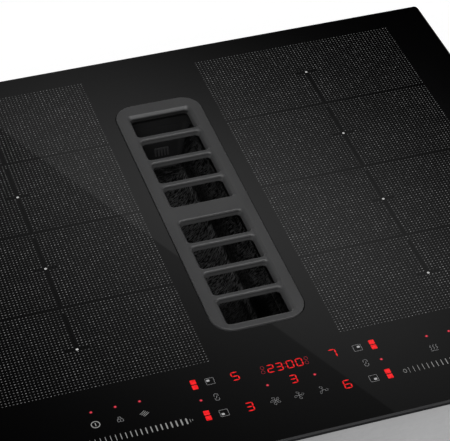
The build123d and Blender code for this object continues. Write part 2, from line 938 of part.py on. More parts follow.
# ---------------------------------------------------------------- air box
ear_out = screw_head + ear_clear
ear_places = [
    (box_left - ear_out, box_y - box_length / 4),
    (box_left - ear_out, box_y + box_length / 4),
    (box_right + ear_out, box_y - box_length / 4),
    (box_right + ear_out, box_y + box_length / 4),
    (box_x - box_width / 4, box_front - ear_out),
    (box_x + box_width / 4, box_front - ear_out),
]
outlet_hole_width = duct_inner_width + 2 * scroll_wall
outlet_hole_height = scroll_height + 2 * scroll_wall
post_ring = (eye_radius + tongue_radius) / 2


def ears(low, high):
    """The screw ears round the parting line of the air box."""
    with BuildPart() as bosses:
        with BuildSketch(Plane.XY.offset(low)):
            with Locations(*ear_places):
                Circle(ear_radius)
        extrude(amount=high - low)
    return bosses.part


def ribs(low, high):
    """The stiffening ribs that stand out of the air box's front and side walls."""
    straight_width = box_width - 2 * box_corner
    straight_length = box_length - 2 * box_corner
    with BuildPart() as webs:
        with BuildSketch(Plane.XY.offset(low)):
            with Locations((box_x, box_y)):
                with GridLocations(rib_pitch, 0, int(straight_width / rib_pitch), 1):
                    with Locations((0, -box_length / 2)):
                        Rectangle(rib_thick, 2 * rib_depth)
                with GridLocations(box_width, rib_pitch, 2, int(straight_length / rib_pitch)):
                    Rectangle(2 * rib_depth, rib_thick)
        extrude(amount=high - low)
    return webs.part


with BuildPart() as air_box_upper:
    add(rounded_block(box_width, box_length, box_corner, part_line, box_top, box_x, box_y))
    add(ears(part_line, part_line + ear_height))
    add(ribs(part_line + 2 * ear_height, box_top - 2 * box_wall))
    add(
        rounded_block(
            neck_width + 2 * neck_wall,
            neck_length + 2 * neck_wall,
            neck_corner + neck_wall,
            box_top - box_wall,
            box_top + neck_height,
            0,
            duct_y,
        )
    )
    add(
        rounded_block(
            box_width - 2 * box_wall,
            box_length - 2 * box_wall,
            box_corner - box_wall,
            part_line,
            box_top - box_wall,
            box_x,
            box_y,
        ),
        mode=Mode.SUBTRACT,
    )
    add(
        rounded_block(
            neck_width, neck_length, neck_corner, box_top - box_wall, box_top + neck_height, 0, duct_y
        ),
        mode=Mode.SUBTRACT,
    )
    with Locations((duct_x, box_rear, scroll_z)):
        Box(outlet_hole_width, 2 * box_corner, outlet_hole_height, mode=Mode.SUBTRACT)
    with Locations(*[(x, y, part_line) for x, y in ear_places]):
        Cylinder(screw_radius, ear_height, mode=Mode.SUBTRACT)

with BuildPart() as air_box_lower:
    add(rounded_block(box_width, box_length, box_corner, box_bottom, part_line, box_x, box_y))
    fillet(air_box_lower.faces().sort_by(Axis.Z)[0].outer_wire().edges(), box_foot_round)
    add(ears(part_line - ear_height, part_line))
    add(ribs(box_bottom + 2 * box_foot_round, part_line - 2 * ear_height))
    add(
        rounded_block(
            box_width - 2 * box_wall,
            box_length - 2 * box_wall,
            box_corner - box_wall,
            box_floor,
            part_line,
            box_x,
            box_y,
        ),
        mode=Mode.SUBTRACT,
    )
    with Locations((duct_x, box_rear, scroll_z)):
        Box(outlet_hole_width, 2 * box_corner, outlet_hole_height, mode=Mode.SUBTRACT)
    with Locations(*[(x, y, part_line) for x, y in ear_places]):
        Cylinder(screw_radius, 2 * ear_height, mode=Mode.SUBTRACT)
    # a low fence places the drip tray, four posts carry the fan housing
    add(
        ring_block(
            tray_width + 2 * (tray_gap + tray_wall),
            tray_length + 2 * (tray_gap + tray_wall),
            tray_corner + tray_gap + tray_wall,
            tray_wall,
            box_floor,
            box_floor + fence_height,
            0,
            duct_y,
        )
    )
    with BuildSketch(Plane.XY.offset(box_floor)):
        with Locations((wheel_x, wheel_y)):
            with PolarLocations(post_ring, posts):
                Circle(ear_radius)
        with Locations((duct_x, box_rear - outlet_post_inset)):
            Circle(ear_radius)
    extrude(amount=scroll_bottom - scroll_wall - box_floor)

# ---------------------------------------------------------------- drip tray
tray_top = box_floor + tray_depth
with BuildPart() as drip_tray:
    add(rounded_block(tray_width, tray_length, tray_corner, box_floor, tray_top, 0, duct_y))
    add(
        rounded_block(
            tray_width - 2 * tray_wall,
            tray_length - 2 * tray_wall,
            tray_corner - tray_wall,
            box_floor + tray_wall,
            tray_top,
            0,
            duct_y,
        ),
        mode=Mode.SUBTRACT,
    )
    # a finger lip at each end
    for end in (-1, 1):
        lip_y = duct_y + end * (tray_length - lip_depth) / 2
        with Locations((0, lip_y, tray_top - tray_wall / 2)):
            Box(lip_width, lip_depth, tray_wall)

with BuildPart() as shaft_seal:
    add(
        ring_block(
            neck_width,
            neck_length,
            neck_corner,
            neck_gap,
            collar_bottom + shaft_seal_raise,
            collar_bottom + shaft_seal_raise + shaft_seal_height,
            0,
            duct_y,
        )
    )


# ---------------------------------------------------------------- fan housing
def scroll_form(low, high, wall):
    """The fan housing's form: three quarter arcs that widen to a mouth as wide as the duct."""
    with BuildPart() as form:
        with BuildSketch(Plane.XY.offset(low)):
            with BuildLine():
                first = CenterArc((wheel_x, wheel_y), tongue_radius, 90, 90)
                CenterArc((wheel_x + scroll_step, wheel_y), tongue_radius + scroll_step, 180, 90)
                last = CenterArc(
                    (wheel_x + scroll_step, wheel_y + scroll_step), tongue_radius + 2 * scroll_step, 270, 90
                )
                Polyline(
                    last @ 1,
                    (scroll_right, box_rear + 4 * box_wall),
                    (scroll_right - duct_inner_width, box_rear + 4 * box_wall),
                    (scroll_right - duct_inner_width, box_rear - mouth_length),
                    first @ 0,
                )
            make_face()
            if wall:
                offset(amount=wall, kind=Kind.ARC)
        extrude(amount=high - low)
    with BuildPart() as trimmed:
        add(form.part)
        split(bisect_by=Plane.XZ.offset(-box_rear), keep=Keep.TOP)
    return trimmed.part


with BuildPart() as scroll_lower:
    add(scroll_form(scroll_bottom - scroll_wall, scroll_z, scroll_wall))
    add(scroll_form(scroll_bottom, scroll_z, 0), mode=Mode.SUBTRACT)
    with Locations((wheel_x, wheel_y, scroll_bottom)):
        Cylinder(eye_radius, 4 * scroll_wall, mode=Mode.SUBTRACT)

with BuildPart() as scroll_upper:
    add(scroll_form(scroll_z, scroll_top + scroll_wall, scroll_wall))
    add(scroll_form(scroll_z, scroll_top, 0), mode=Mode.SUBTRACT)
    with Locations((wheel_x, wheel_y, scroll_top)):
        Cylinder(eye_radius, 4 * scroll_wall, mode=Mode.SUBTRACT)

# ---------------------------------------------------------------- fan wheel
wheel_low = scroll_z - wheel_height / 2
wheel_high = scroll_z + wheel_height / 2
with BuildPart() as impeller:
    with BuildSketch(Plane.XY.offset(disc_under)):
        with Locations((wheel_x, wheel_y)):
            Circle(wheel_radius - wheel_rim_step)
    extrude(amount=disc_thick)
    with BuildSketch(Plane.XY.offset(disc_under - hub_height)):
        with Locations((wheel_x, wheel_y)):
            Circle(hub_radius)
    extrude(amount=hub_height)
    with BuildSketch(Plane.XY.offset(wheel_low)):
        with Locations((wheel_x, wheel_y)):
            with PolarLocations(wheel_radius - blade_length / 2 - wheel_rim_step, wheel_blades):
                Rectangle(blade_length, blade_thick, rotation=blade_angle)
    extrude(amount=wheel_height)
    for low in (wheel_low, wheel_high - wheel_ring):
        with BuildSketch(Plane.XY.offset(low)):
            with Locations((wheel_x, wheel_y)):
                Circle(wheel_radius)
                Circle(wheel_radius - blade_length - wheel_rim_step, mode=Mode.SUBTRACT)
        extrude(amount=wheel_ring)
    with Locations((wheel_x, wheel_y, scroll_z)):
        Cylinder(shaft_radius, wheel_height, mode=Mode.SUBTRACT)

# ---------------------------------------------------------------- fan motor, hung in the upper eye
arm_reach = eye_radius + mount_arm_margin
with BuildPart() as motor_mount:
    with BuildSketch(Plane.XY.offset(mount_under)):
        with Locations((wheel_x, wheel_y)):
            Circle(stator_radius)
            with PolarLocations(arm_reach / 2, mount_arms, mount_arm_angle):
                Rectangle(arm_reach, mount_arm)
            with PolarLocations(arm_reach, mount_arms, mount_arm_angle):
                Circle(mount_arm / 2)
    extrude(amount=mount_thick)
    with BuildSketch(Plane.XY.offset(stator_under)):
        with Locations((wheel_x, wheel_y)):
            Circle(motor_tube_radius)
    extrude(amount=mount_under - stator_under)
    with BuildSketch(Plane.XY.offset(stator_under)):
        with Locations((wheel_x, wheel_y)):
            Circle(bearing_radius)
    extrude(amount=mount_under + mount_thick - stator_under, mode=Mode.SUBTRACT)
    with BuildSketch(Plane.XY.offset(mount_under)):
        with Locations((wheel_x, wheel_y)):
            with PolarLocations(arm_reach, mount_arms, mount_arm_angle):
                Circle(screw_radius)
    extrude(amount=mount_thick, mode=Mode.SUBTRACT)

with BuildPart() as motor_bushes:
    with BuildSketch(Plane.XY.offset(scroll_top + scroll_wall)):
        with Locations((wheel_x, wheel_y)):
            with PolarLocations(arm_reach, mount_arms, mount_arm_angle):
                Circle(mount_arm / 2)
                Circle(screw_radius, mode=Mode.SUBTRACT)
    extrude(amount=bush_thick)

with BuildPart() as motor_stator:
    with BuildSketch(Plane.XY.offset(stator_under)):
        with Locations((wheel_x, wheel_y)):
            Circle(stator_radius)
            with PolarLocations(stator_radius - stator_slot_inset, stator_teeth):
                Rectangle(stator_slot_length, stator_slot_width, mode=Mode.SUBTRACT)
            Circle(motor_tube_radius, mode=Mode.SUBTRACT)
    extrude(amount=stator_height)

with BuildPart() as motor_rotor:
    with BuildSketch(Plane.XY.offset(disc_top)):
        with Locations((wheel_x, wheel_y)):
            Circle(rotor_inner + rotor_wall)
            Circle(shaft_radius, mode=Mode.SUBTRACT)
    extrude(amount=stator_height + rotor_wall + 2 * rotor_gap)
    with BuildSketch(Plane.XY.offset(rotor_floor)):
        with Locations((wheel_x, wheel_y)):
            Circle(rotor_inner)
    extrude(amount=stator_height + rotor_wall + 2 * rotor_gap, mode=Mode.SUBTRACT)

with BuildPart() as motor_bearings:
    for low in (stator_under, mount_under + mount_thick - bearing_width):
        with BuildSketch(Plane.XY.offset(low)):
            with Locations((wheel_x, wheel_y)):
                Circle(bearing_radius)
                Circle(shaft_radius + shaft_clear, mode=Mode.SUBTRACT)
        extrude(amount=bearing_width)

with BuildPart() as motor_shaft:
    shaft_low = disc_under - hub_height
    with BuildSketch(Plane.XY.offset(shaft_low)):
        with Locations((wheel_x, wheel_y)):
            Circle(shaft_radius)
    extrude(amount=mount_under + mount_thick + shaft_proud - shaft_low)

# ---------------------------------------------------------------- outlet spigot and its flaps
with BuildPart() as outlet_spigot:
    with Locations((duct_x, (box_rear + duct_end) / 2, scroll_z)):
        Box(duct_width, duct_end - box_rear, duct_height)
    with Locations((duct_x, box_rear + duct_flange_thick / 2, scroll_z)):
        Box(duct_width + 2 * duct_flange, duct_flange_thick, duct_height + 2 * duct_flange)
    with Locations((duct_x, (box_rear + duct_end) / 2, scroll_z)):
        Box(
            duct_width - 2 * duct_wall,
            duct_end - box_rear,
            duct_height - 2 * duct_wall,
            mode=Mode.SUBTRACT,
        )
    with Locations(Location((duct_x, flap_y, scroll_z), (0, 90, 0))):
        Cylinder(flap_pin, duct_width + 2, mode=Mode.SUBTRACT)

with BuildPart() as flap_rod:
    with Locations(Location((duct_x, flap_y, scroll_z), (0, 90, 0))):
        Cylinder(flap_pin, duct_width)

knuckle_radius = flap_pin + knuckle_wall
flap_width = duct_inner_width - 2 * flap_gap
knuckle_length = flap_width / knuckles
flaps = {}
for name, side in (("upper", 1), ("lower", -1)):
    with BuildPart() as flap:
        leaf_low = knuckle_radius + leaf_gap
        leaf_height = flap_reach - leaf_low
        with Locations((duct_x, flap_y, scroll_z + side * (leaf_low + leaf_height / 2))):
            Box(flap_width, flap_thick, leaf_height)
        first = (0 if side > 0 else 1) - (knuckles - 1) / 2
        for step in range(knuckles // 2):
            knuckle_x = duct_x + (first + 2 * step) * knuckle_length
            with Locations(Location((knuckle_x, flap_y, scroll_z), (0, 90, 0))):
                Cylinder(knuckle_radius, knuckle_length - knuckle_gap)
            with Locations((knuckle_x, flap_y, scroll_z + side * (leaf_low + leaf_gap) / 2)):
                Box(knuckle_length - knuckle_gap, flap_thick, leaf_low + leaf_gap)
        with Locations(Location((duct_x, flap_y, scroll_z), (0, 90, 0))):
            Cylinder(flap_pin + shaft_clear, duct_width, mode=Mode.SUBTRACT)
    flaps[f"flap_{name}"] = flap

# ---------------------------------------------------------------- clips and screws
clip_low = tub_bottom + clip_raise
clip_bend = clip_low + clip_foot
clip_high = tub_top - clip_top_gap
clip_mid = (clip_bend + clip_high) / 2
wall_x = tub_width / 2
with BuildPart() as worktop_clips:
    for side in (-1, 1):
        for clip_place in (-clip_y, clip_y):
            with BuildSketch(Plane.XZ.offset(-clip_place - clip_width / 2)):
                with BuildLine():
                    Polyline(
                        (side * wall_x, clip_low),
                        (side * (wall_x + clip_thick), clip_low),
                        (side * (wall_x + clip_thick), clip_bend),
                        (side * (wall_x + clip_thick + clip_bow), clip_mid),
                        (side * (wall_x + clip_thick + clip_tip_gap), clip_high),
                        (side * (wall_x + clip_tip_gap), clip_high),
                        (side * (wall_x + clip_bow), clip_mid),
                        (side * wall_x, clip_bend),
                        (side * wall_x, clip_low),
                    )
                make_face()
            extrude(amount=clip_width)

# One kind of pan-head screw holds the clips, the air box's shells and the motor's mount.
screw_arms = PolarLocations(arm_reach, mount_arms, mount_arm_angle)
motor_screw_places = [
    (wheel_x + place.position.X, wheel_y + place.position.Y) for place in screw_arms.local_locations
]
box_head_low = part_line - ear_height - screw_head_thick
with BuildPart() as pan_head_screws:
    for side in (-1, 1):
        for clip_place in (-clip_y, clip_y):
            head_x = side * (wall_x + clip_thick + screw_head_thick / 2)
            with Locations(Location((head_x, clip_place, (clip_low + clip_bend) / 2), (0, 90, 0))):
                Cylinder(screw_head, screw_head_thick)
    for places, head_low, shank_low, shank_high in (
        (ear_places, box_head_low, box_head_low, part_line + ear_height / 2),
        (
            motor_screw_places,
            mount_under + mount_thick,
            scroll_top + scroll_wall,
            mount_under + mount_thick,
        ),
    ):
        with BuildSketch(Plane.XY.offset(head_low)):
            with Locations(*places):
                Circle(screw_head)
        extrude(amount=screw_head_thick)
        with BuildSketch(Plane.XY.offset(shank_low)):
            with Locations(*places):
                Circle(screw_radius)
        extrude(amount=shank_high - shank_low)

# ---------------------------------------------------------------- every piece, as its own file
pieces = {
    "glass_top": glass_top,
    "worktop_gasket": worktop_gasket,
    "glass_bond": glass_bond,
    "intake_grille": intake_grille,
    "grille_pads": grille_pads,
    "intake_collar": intake_collar,
    "collar_seal": collar_seal,
    "filter_mesh": filter_mesh,
    "filter_frame": filter_frame,
    "filter_grip": filter_grip,
    "drip_tray": drip_tray,
    "shaft_seal": shaft_seal,
    "base_tub": base_tub,
    "mains_bush": mains_bush,
    "terminal_block": terminal_block,
    "coil_ferrites": coil_ferrites,
    "coil_sensors": coil_sensors,
    "board_standoffs": board_standoffs,
    "light_guide": light_guide,
    "touch_board": touch_board,
    "touch_bracket": touch_bracket,
    "air_box_upper": air_box_upper,
    "air_box_lower": air_box_lower,
    "scroll_lower": scroll_lower,
    "scroll_upper": scroll_upper,
    "impeller": impeller,
    "motor_mount": motor_mount,
    "motor_bushes": motor_bushes,
    "motor_stator": motor_stator,
    "motor_rotor": motor_rotor,
    "motor_bearings": motor_bearings,
    "motor_shaft": motor_shaft,
    "outlet_spigot": outlet_spigot,
    "flap_rod": flap_rod,
    "worktop_clips": worktop_clips,
    "pan_head_screws": pan_head_screws,
}
for group in (
    coils,
    coil_formers,
    coil_carriers,
    mica_sheets,
    power_boards,
    heatsinks,
    fan_frames,
    fan_rotors,
    flaps,
):
    pieces.update(group)

os.makedirs("parts", exist_ok=True)
for name, piece in pieces.items():
    piece.part.label = name
    export_step(piece.part, f"parts/{name}.step")
print(len(pieces), "pieces written")
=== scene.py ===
import bpy
import math
from mathutils import Matrix, Vector


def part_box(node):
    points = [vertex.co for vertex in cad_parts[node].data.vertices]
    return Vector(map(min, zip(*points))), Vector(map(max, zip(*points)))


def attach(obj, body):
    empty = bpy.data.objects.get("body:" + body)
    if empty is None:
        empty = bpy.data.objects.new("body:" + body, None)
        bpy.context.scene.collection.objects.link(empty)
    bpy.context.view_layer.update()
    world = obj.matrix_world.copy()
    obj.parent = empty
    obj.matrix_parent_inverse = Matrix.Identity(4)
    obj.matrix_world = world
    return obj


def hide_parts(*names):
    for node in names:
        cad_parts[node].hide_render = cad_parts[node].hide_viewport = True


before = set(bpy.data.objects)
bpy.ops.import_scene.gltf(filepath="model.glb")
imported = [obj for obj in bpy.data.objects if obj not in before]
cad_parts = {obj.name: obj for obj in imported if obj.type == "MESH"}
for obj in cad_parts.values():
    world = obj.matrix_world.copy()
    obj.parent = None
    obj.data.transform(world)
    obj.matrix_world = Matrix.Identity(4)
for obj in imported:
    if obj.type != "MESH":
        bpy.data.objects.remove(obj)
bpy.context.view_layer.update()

# ----- Glass plate
# One sheet of black glass ceramic, polished on top and ground to a narrow bevel round its edge.
# It lies on the worktop on a foam gasket, and the steel tub is bonded to it from below.


class Value:
    """What a socket gives over a surface, with the arithmetic of Python's operators."""

    def __init__(self, tree, socket):
        self.tree = tree
        self.socket = socket

    def maths(self, operation, first, second=0.0):
        made = self.tree.nodes.new("ShaderNodeMath")
        made.operation = operation
        for slot, item in zip(made.inputs, (first, second)):
            if isinstance(item, Value):
                self.tree.links.new(item.socket, slot)
            else:
                slot.default_value = item
        return Value(self.tree, made.outputs[0])

    def above_zero(self):
        return self.maths("MAXIMUM", self, 0.0)

    def __gt__(self, other):
        return self.maths("GREATER_THAN", self, other)

    def __lt__(self, other):
        return self.maths("LESS_THAN", self, other)

    def __neg__(self):
        return self.maths("MULTIPLY", self, -1.0)

    def __abs__(self):
        return self.maths("ABSOLUTE", self)


# the operators that take a value or a number on either side
for sign, operation in (
    ("add", "ADD"), ("sub", "SUBTRACT"), ("mul", "MULTIPLY"),
    ("truediv", "DIVIDE"), ("pow", "POWER"), ("mod", "FLOORED_MODULO"),
):
    setattr(Value, f"__{sign}__", lambda one, other, does=operation: one.maths(does, one, other))
    setattr(Value, f"__r{sign}__", lambda one, other, does=operation: one.maths(does, other, one))


def colour(shade):
    """A colour of four parts, from one of three or from a grey."""
    return (*shade, 1.0) if isinstance(shade, tuple) else (shade, shade, shade, 1.0)


class Finish:
    """The nodes of a new material, or of a tree that is there already."""

    def __init__(self, name, tree=None):
        if tree is None:
            self.material = bpy.data.materials.new(name)
            self.material.use_nodes = True
            tree = self.material.node_tree
        self.tree = tree
        self.tree.nodes.clear()

    def node(self, kind, inputs=None, output=0, **settings):
        made = self.tree.nodes.new("ShaderNode" + kind)
        for name, value in settings.items():
            setattr(made, name, value)
        for name, value in (inputs or {}).items():
            socket = made.inputs[name]
            if isinstance(value, Value):
                self.tree.links.new(value.socket, socket)
            elif hasattr(socket.default_value, "__len__"):
                socket.default_value = colour(value)[:len(socket.default_value)]
            else:
                socket.default_value = value
        return Value(self.tree, made.outputs[output]) if made.outputs else None

    def place(self, turn=(0, 0, 0), scale=(1, 1, 1)):
        """Points of the piece in metres, turned and divided by a scale."""
        points = self.node("TexCoord", output="Object")
        inputs = {"Vector": points, "Rotation": turn, "Scale": scale}
        return self.node("Mapping", inputs, vector_type="TEXTURE")

    def along(self, points):
        """The x, y and z of the points."""
        made = self.tree.nodes.new("ShaderNodeSeparateXYZ")
        self.tree.links.new(points.socket, made.inputs[0])
        return [Value(self.tree, socket) for socket in made.outputs]

    def clouds(self, size, points=None, detail=2.0, rough=0.5):
        """Soft noise from 0 to 1 with marks about as large as size, in metres."""
        points = points or self.place()
        inputs = {"Vector": points, "Scale": 1.0 / size, "Detail": detail, "Roughness": rough}
        return self.node("TexNoise", inputs, "Fac")

    def ramp(self, amount, *stops):
        """Shades along an amount from 0 to 1, each a colour or a grey."""
        made = self.tree.nodes.new("ShaderNodeValToRGB")
        self.tree.links.new(amount.socket, made.inputs[0])
        ends = made.color_ramp.elements
        while len(ends) < len(stops):
            ends.new(1.0)
        for stop, (place, shade) in zip(ends, stops):
            stop.position = place
            stop.color = colour(shade)
        return Value(self.tree, made.outputs[0])

    def between(self, amount, low, high):
        """How far an amount is on its way from low to high, held at 0 and 1."""
        return self.node("MapRange", {"Value": amount, "From Min": low, "From Max": high})

    def mix(self, share, first, second):
        """A colour mixed from two."""
        inputs = {0: share, 6: first, 7: second}
        return self.node("Mix", inputs, 2, data_type="RGBA")

    def raised(self, height, depth, strength=1.0):
        """The surface's normal over marks of a height from 0 to 1 and a depth in metres."""
        inputs = {"Height": height, "Distance": depth, "Strength": strength}
        return self.node("Bump", inputs)

    def mirrored_or_seen(self):
        """1 where the eye, a mirror or clear glass looks at the surface, and 0 for its light on things."""
        kinds = ("Camera", "Glossy", "Transmission")
        camera, glossy, clear = [self.node("LightPath", output=f"Is {kind} Ray") for kind in kinds]
        return (camera + glossy + clear) > 0.5

    def surface(self, **sockets):
        """Close the material with its surface, whose sockets are named in small letters."""
        named = {}
        for name, value in sockets.items():
            named[name.replace("_", " ").title().replace("Ior", "IOR")] = value
        shader = self.node("BsdfPrincipled", named)
        self.node("OutputMaterial", {"Surface": shader})


def dress(finish, *names):
    """Give CAD pieces their finish."""
    for name in names:
        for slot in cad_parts[name].material_slots:
            slot.material = finish.material


glass_half_width = 0.300
glass_half_depth = 0.260
glass_level = 0.006
bevel_wide = 0.00125
bevel_tall = 0.0013

glass = Finish("black_glass")
across, back, up = glass.along(glass.place())
past_side = abs(across) - (glass_half_width - bevel_wide)
past_front = abs(back) - (glass_half_depth - bevel_wide)
ground = ((past_side > 0) + (past_front > 0)) > 0.5
rim = ground * (up < glass_level - bevel_tall)
wiped = glass.clouds(0.09, detail=4.0)
grit = glass.clouds(0.0012, detail=1.0)
specks = glass.between(grit, 0.70, 0.78)
glass_colour = glass.ramp(
    specks * (1 - ground) * 0.1 + ground * (0.8 + grit * 0.2),
    (0.0, (0.0006, 0.0006, 0.0007)), (0.1, (0.003, 0.003, 0.0033)), (1.0, (0.046, 0.046, 0.048)),
)
glass_rough = 0.008 + wiped * 0.012 + ground * 0.3
polished = glass.node(
    "BsdfPrincipled", {"Base Color": glass_colour, "Roughness": glass_rough, "IOR": 1.5}
)
rim_colour = glass.mix(glass.between(grit, 0.4, 0.6), (0.004, 0.004, 0.0045), (0.009, 0.009, 0.01))
rim_rough = 0.55 + grit * 0.2
matt = glass.node(
    "BsdfPrincipled", {"Base Color": rim_colour, "Roughness": rim_rough, "IOR": 1.18}
)
edged = glass.node("MixShader", {0: rim, 1: polished, 2: matt})
glass.node("OutputMaterial", {"Surface": edged})
dress(glass, "glass_top")

# ----- Cooking zone print
# Two bridge zones, each of four sections, marked by fine dots of grey enamel fired onto the glass.
# Each section has a white dot at its centre, with a bare cross of glass around and between them.

print_thick = 0.00003
dot_radius = 0.0004
dot_stretch = (1.55, 0.85, 1)
dot_pitch = 0.00304
dot_columns = 66
dot_rows = 32
first_column = 0.0573
section_starts = [-0.1597, -0.0606, 0.0387, 0.1381]
row_pitch = 0.003035
centre_column = 32
centre_x = first_column + centre_column * dot_pitch
centre_rows = [-0.1146, -0.0120, 0.0870, 0.1867]
arm_columns = 3
arm_half_wide = row_pitch * 0.6


def edit_all():
    """Go into edit mode with all of the piece picked."""
    bpy.ops.object.mode_set(mode="EDIT")
    bpy.ops.mesh.select_all(action="SELECT")


def leave_edit():
    """Go back to whole pieces."""
    bpy.ops.object.mode_set(mode="OBJECT")


def thicken():
    """Raise the flat outline being made into a closed plate as thick as the print."""
    edit_all()
    bpy.ops.mesh.extrude_region_move(TRANSFORM_OT_translate={"value": (0, 0, print_thick)})
    bpy.ops.mesh.select_all(action="SELECT")
    bpy.ops.mesh.normals_make_consistent(inside=False)
    leave_edit()


def settle(name, finish):
    """Name the piece being made, apply its place and give it its finish."""
    piece = bpy.context.object
    bpy.ops.object.transform_apply()
    piece.name = name
    piece.data.name = name
    piece.data.materials.clear()
    piece.data.materials.append(finish.material)
    return piece


def modify(kind, **settings):
    """Put the piece being made through a modifier of that kind."""
    bpy.ops.object.modifier_add(type=kind)
    change = bpy.context.object.modifiers[-1]
    for name, value in settings.items():
        setattr(change, name, value)
    bpy.ops.object.modifier_apply(modifier=change.name)


def repeat(count, step):
    """Repeat the piece being made along a step."""
    place = {"use_relative_offset": False, "use_constant_offset": True, "constant_offset_displace": step}
    modify("ARRAY", count=count, **place)


def pick(piece, wanted, kind="VERT"):
    """Go into edit mode with the corners, edges or faces of a piece picked by their place.

    They are asked for by x, y and z, by their two ends, or by their centre and normal.
    """
    bpy.ops.object.mode_set(mode="EDIT")
    bpy.ops.mesh.select_mode(type=kind)
    bpy.ops.mesh.select_all(action="DESELECT")
    leave_edit()
    corners = piece.data.vertices
    if kind == "VERT":
        for corner in corners:
            corner.select = wanted(*corner.co)
    elif kind == "EDGE":
        for edge in piece.data.edges:
            edge.select = wanted(*[corners[number].co for number in edge.vertices])
    else:
        for face in piece.data.polygons:
            face.select = wanted(face.center, face.normal)
    bpy.ops.object.mode_set(mode="EDIT")


grey_enamel = Finish("grey_enamel")
fired = grey_enamel.clouds(0.0016, detail=0.0)
patchy = grey_enamel.clouds(0.03, detail=1.0)
grey_enamel.surface(
    base_color=grey_enamel.ramp(fired * 0.8 + patchy * 0.2, (0.36, 0.12), (0.54, 0.19), (0.66, 0.40)),
    roughness=0.4 + patchy * 0.15,
    normal=grey_enamel.raised(grey_enamel.clouds(0.0002), 0.00001),
)

for side_name, side in (("left", -1), ("right", 1)):
    for number, start in enumerate(section_starts, 1):
        white_row = centre_rows[number - 1]

        def bare(x, y, z):
            column = round((abs(x) - first_column) / dot_pitch)
            row = round((y - start) / row_pitch)
            at_centre = column == centre_column and row < dot_rows - 2
            gap = at_centre and centre_rows[0] < y < centre_rows[3]
            arm = abs(y - white_row) < arm_half_wide and abs(column - centre_column) <= arm_columns
            return gap or arm

        first_dot = (side * first_column, start, glass_level)
        bpy.ops.mesh.primitive_circle_add(vertices=6, radius=dot_radius, fill_type="NGON", location=first_dot)
        bpy.context.object.scale = dot_stretch
        thicken()
        dots = settle(f"zone_dots_{side_name}_{number}", grey_enamel)
        repeat(dot_columns, (side * dot_pitch, 0, 0))
        repeat(dot_rows, (0, row_pitch, 0))
        pick(dots, bare)
        bpy.ops.mesh.delete(type="VERT")
        leave_edit()
        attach(dots, "root")

white_enamel = Finish("white_enamel")
speckled = white_enamel.clouds(0.0004)
white_enamel.surface(
    base_color=white_enamel.ramp(speckled, (0.3, (0.27, 0.27, 0.265)), (0.7, (0.42, 0.42, 0.41))),
    roughness=0.45,
    normal=white_enamel.raised(white_enamel.clouds(0.0002), 0.00001),
)

bright_enamel = Finish("bright_enamel")
thick_ink = bright_enamel.clouds(0.0005)
bright_enamel.surface(
    base_color=bright_enamel.ramp(thick_ink, (0.3, (0.66, 0.66, 0.65)), (0.7, (0.82, 0.82, 0.81))),
    roughness=0.4 + thick_ink * 0.1,
    normal=bright_enamel.raised(thick_ink, 0.00001),
)

dim_enamel = Finish("dim_enamel")
thin_ink = dim_enamel.clouds(0.0008, detail=1.0)
dim_enamel.surface(
    base_color=dim_enamel.ramp(thin_ink, (0.3, (0.20, 0.20, 0.205)), (0.7, (0.34, 0.34, 0.345))),
    roughness=0.45 + thin_ink * 0.1,
)


def flat_shape(corners):
    """A flat outline 1 mm across with that many corners, to be made a plate and copied."""
    bpy.ops.mesh.primitive_circle_add(
        vertices=corners, radius=0.0005, fill_type="NGON", location=(0, 0, glass_level)
    )
    bpy.ops.object.transform_apply()
    return bpy.context.object


def take_up(*pieces):
    """Select these pieces alone, with the first of them to be worked on."""
    bpy.ops.object.select_all(action="DESELECT")
    for piece in pieces:
        piece.select_set(True)
    bpy.context.view_layer.objects.active = pieces[0]


def at(x, y, turn=0.0, wide=1.0, tall=1.0):
    """A place on the glass in millimetres, with a turn in degrees and a size."""
    move = Matrix.Translation((x / 1000, y / 1000, 0))
    return move @ Matrix.Rotation(math.radians(turn), 4, "Z") @ Matrix.Diagonal((wide, tall, 1, 1))


def stroke(x, y, end_x, end_y, wide):
    """A bar from one point to another, in millimetres."""
    turn = math.degrees(math.atan2(end_y - y, end_x - x))
    return at((x + end_x) / 2, (y + end_y) / 2, turn, math.hypot(end_x - x, end_y - y) + wide / 2, wide)


def lay(name, shape, places, finish):
    """Copy a shape to its places on the glass, as one piece."""
    twins = []
    for place in places:
        twin = bpy.data.objects.new(name, shape.data.copy())
        bpy.context.scene.collection.objects.link(twin)
        twin.data.transform(place)
        twins.append(twin)
    take_up(*twins)
    bpy.ops.object.join()
    piece = settle(name, finish)
    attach(piece, "root")


disc = flat_shape(20)
thicken()
spot_wide = 2.3
white_spots = []
for side in (-1, 1):
    white_spots += [at(side * centre_x * 1000, y * 1000, 0, spot_wide, spot_wide) for y in centre_rows]
lay("zone_centre_dots", disc, white_spots, bright_enamel)

# ----- Touch control
# Printed touch fields near the front edge: a key, a lock, a wipe guard, zone and fan pictograms
# and two sliders, with red lamps and digits that shine through the glass from the board below.


def square_shape(corner):
    """A thin square plate 1 mm wide with rounded corners, to be copied onto the glass."""
    bpy.ops.mesh.primitive_plane_add(size=0.001, location=(0, 0, glass_level))
    bpy.ops.object.transform_apply()
    edit_all()
    bpy.ops.mesh.bevel(offset=corner, segments=3, affect="VERTICES")
    leave_edit()
    thicken()
    return bpy.context.object


bar = square_shape(0.00022)
lamp_block = square_shape(0.00012)

lamp_bar = flat_shape(6)
pick(lamp_bar, lambda x, y, z: abs(x) < 0.0004)
bpy.ops.transform.resize(value=(1.56, 1.15, 1))
leave_edit()
thicken()

loop = flat_shape(24)
bpy.ops.object.mode_set(mode="EDIT")
bpy.ops.mesh.select_mode(type="FACE")
bpy.ops.mesh.select_all(action="SELECT")
bpy.ops.mesh.inset(thickness=0.0001)
bpy.ops.mesh.delete(type="FACE")
leave_edit()
thicken()


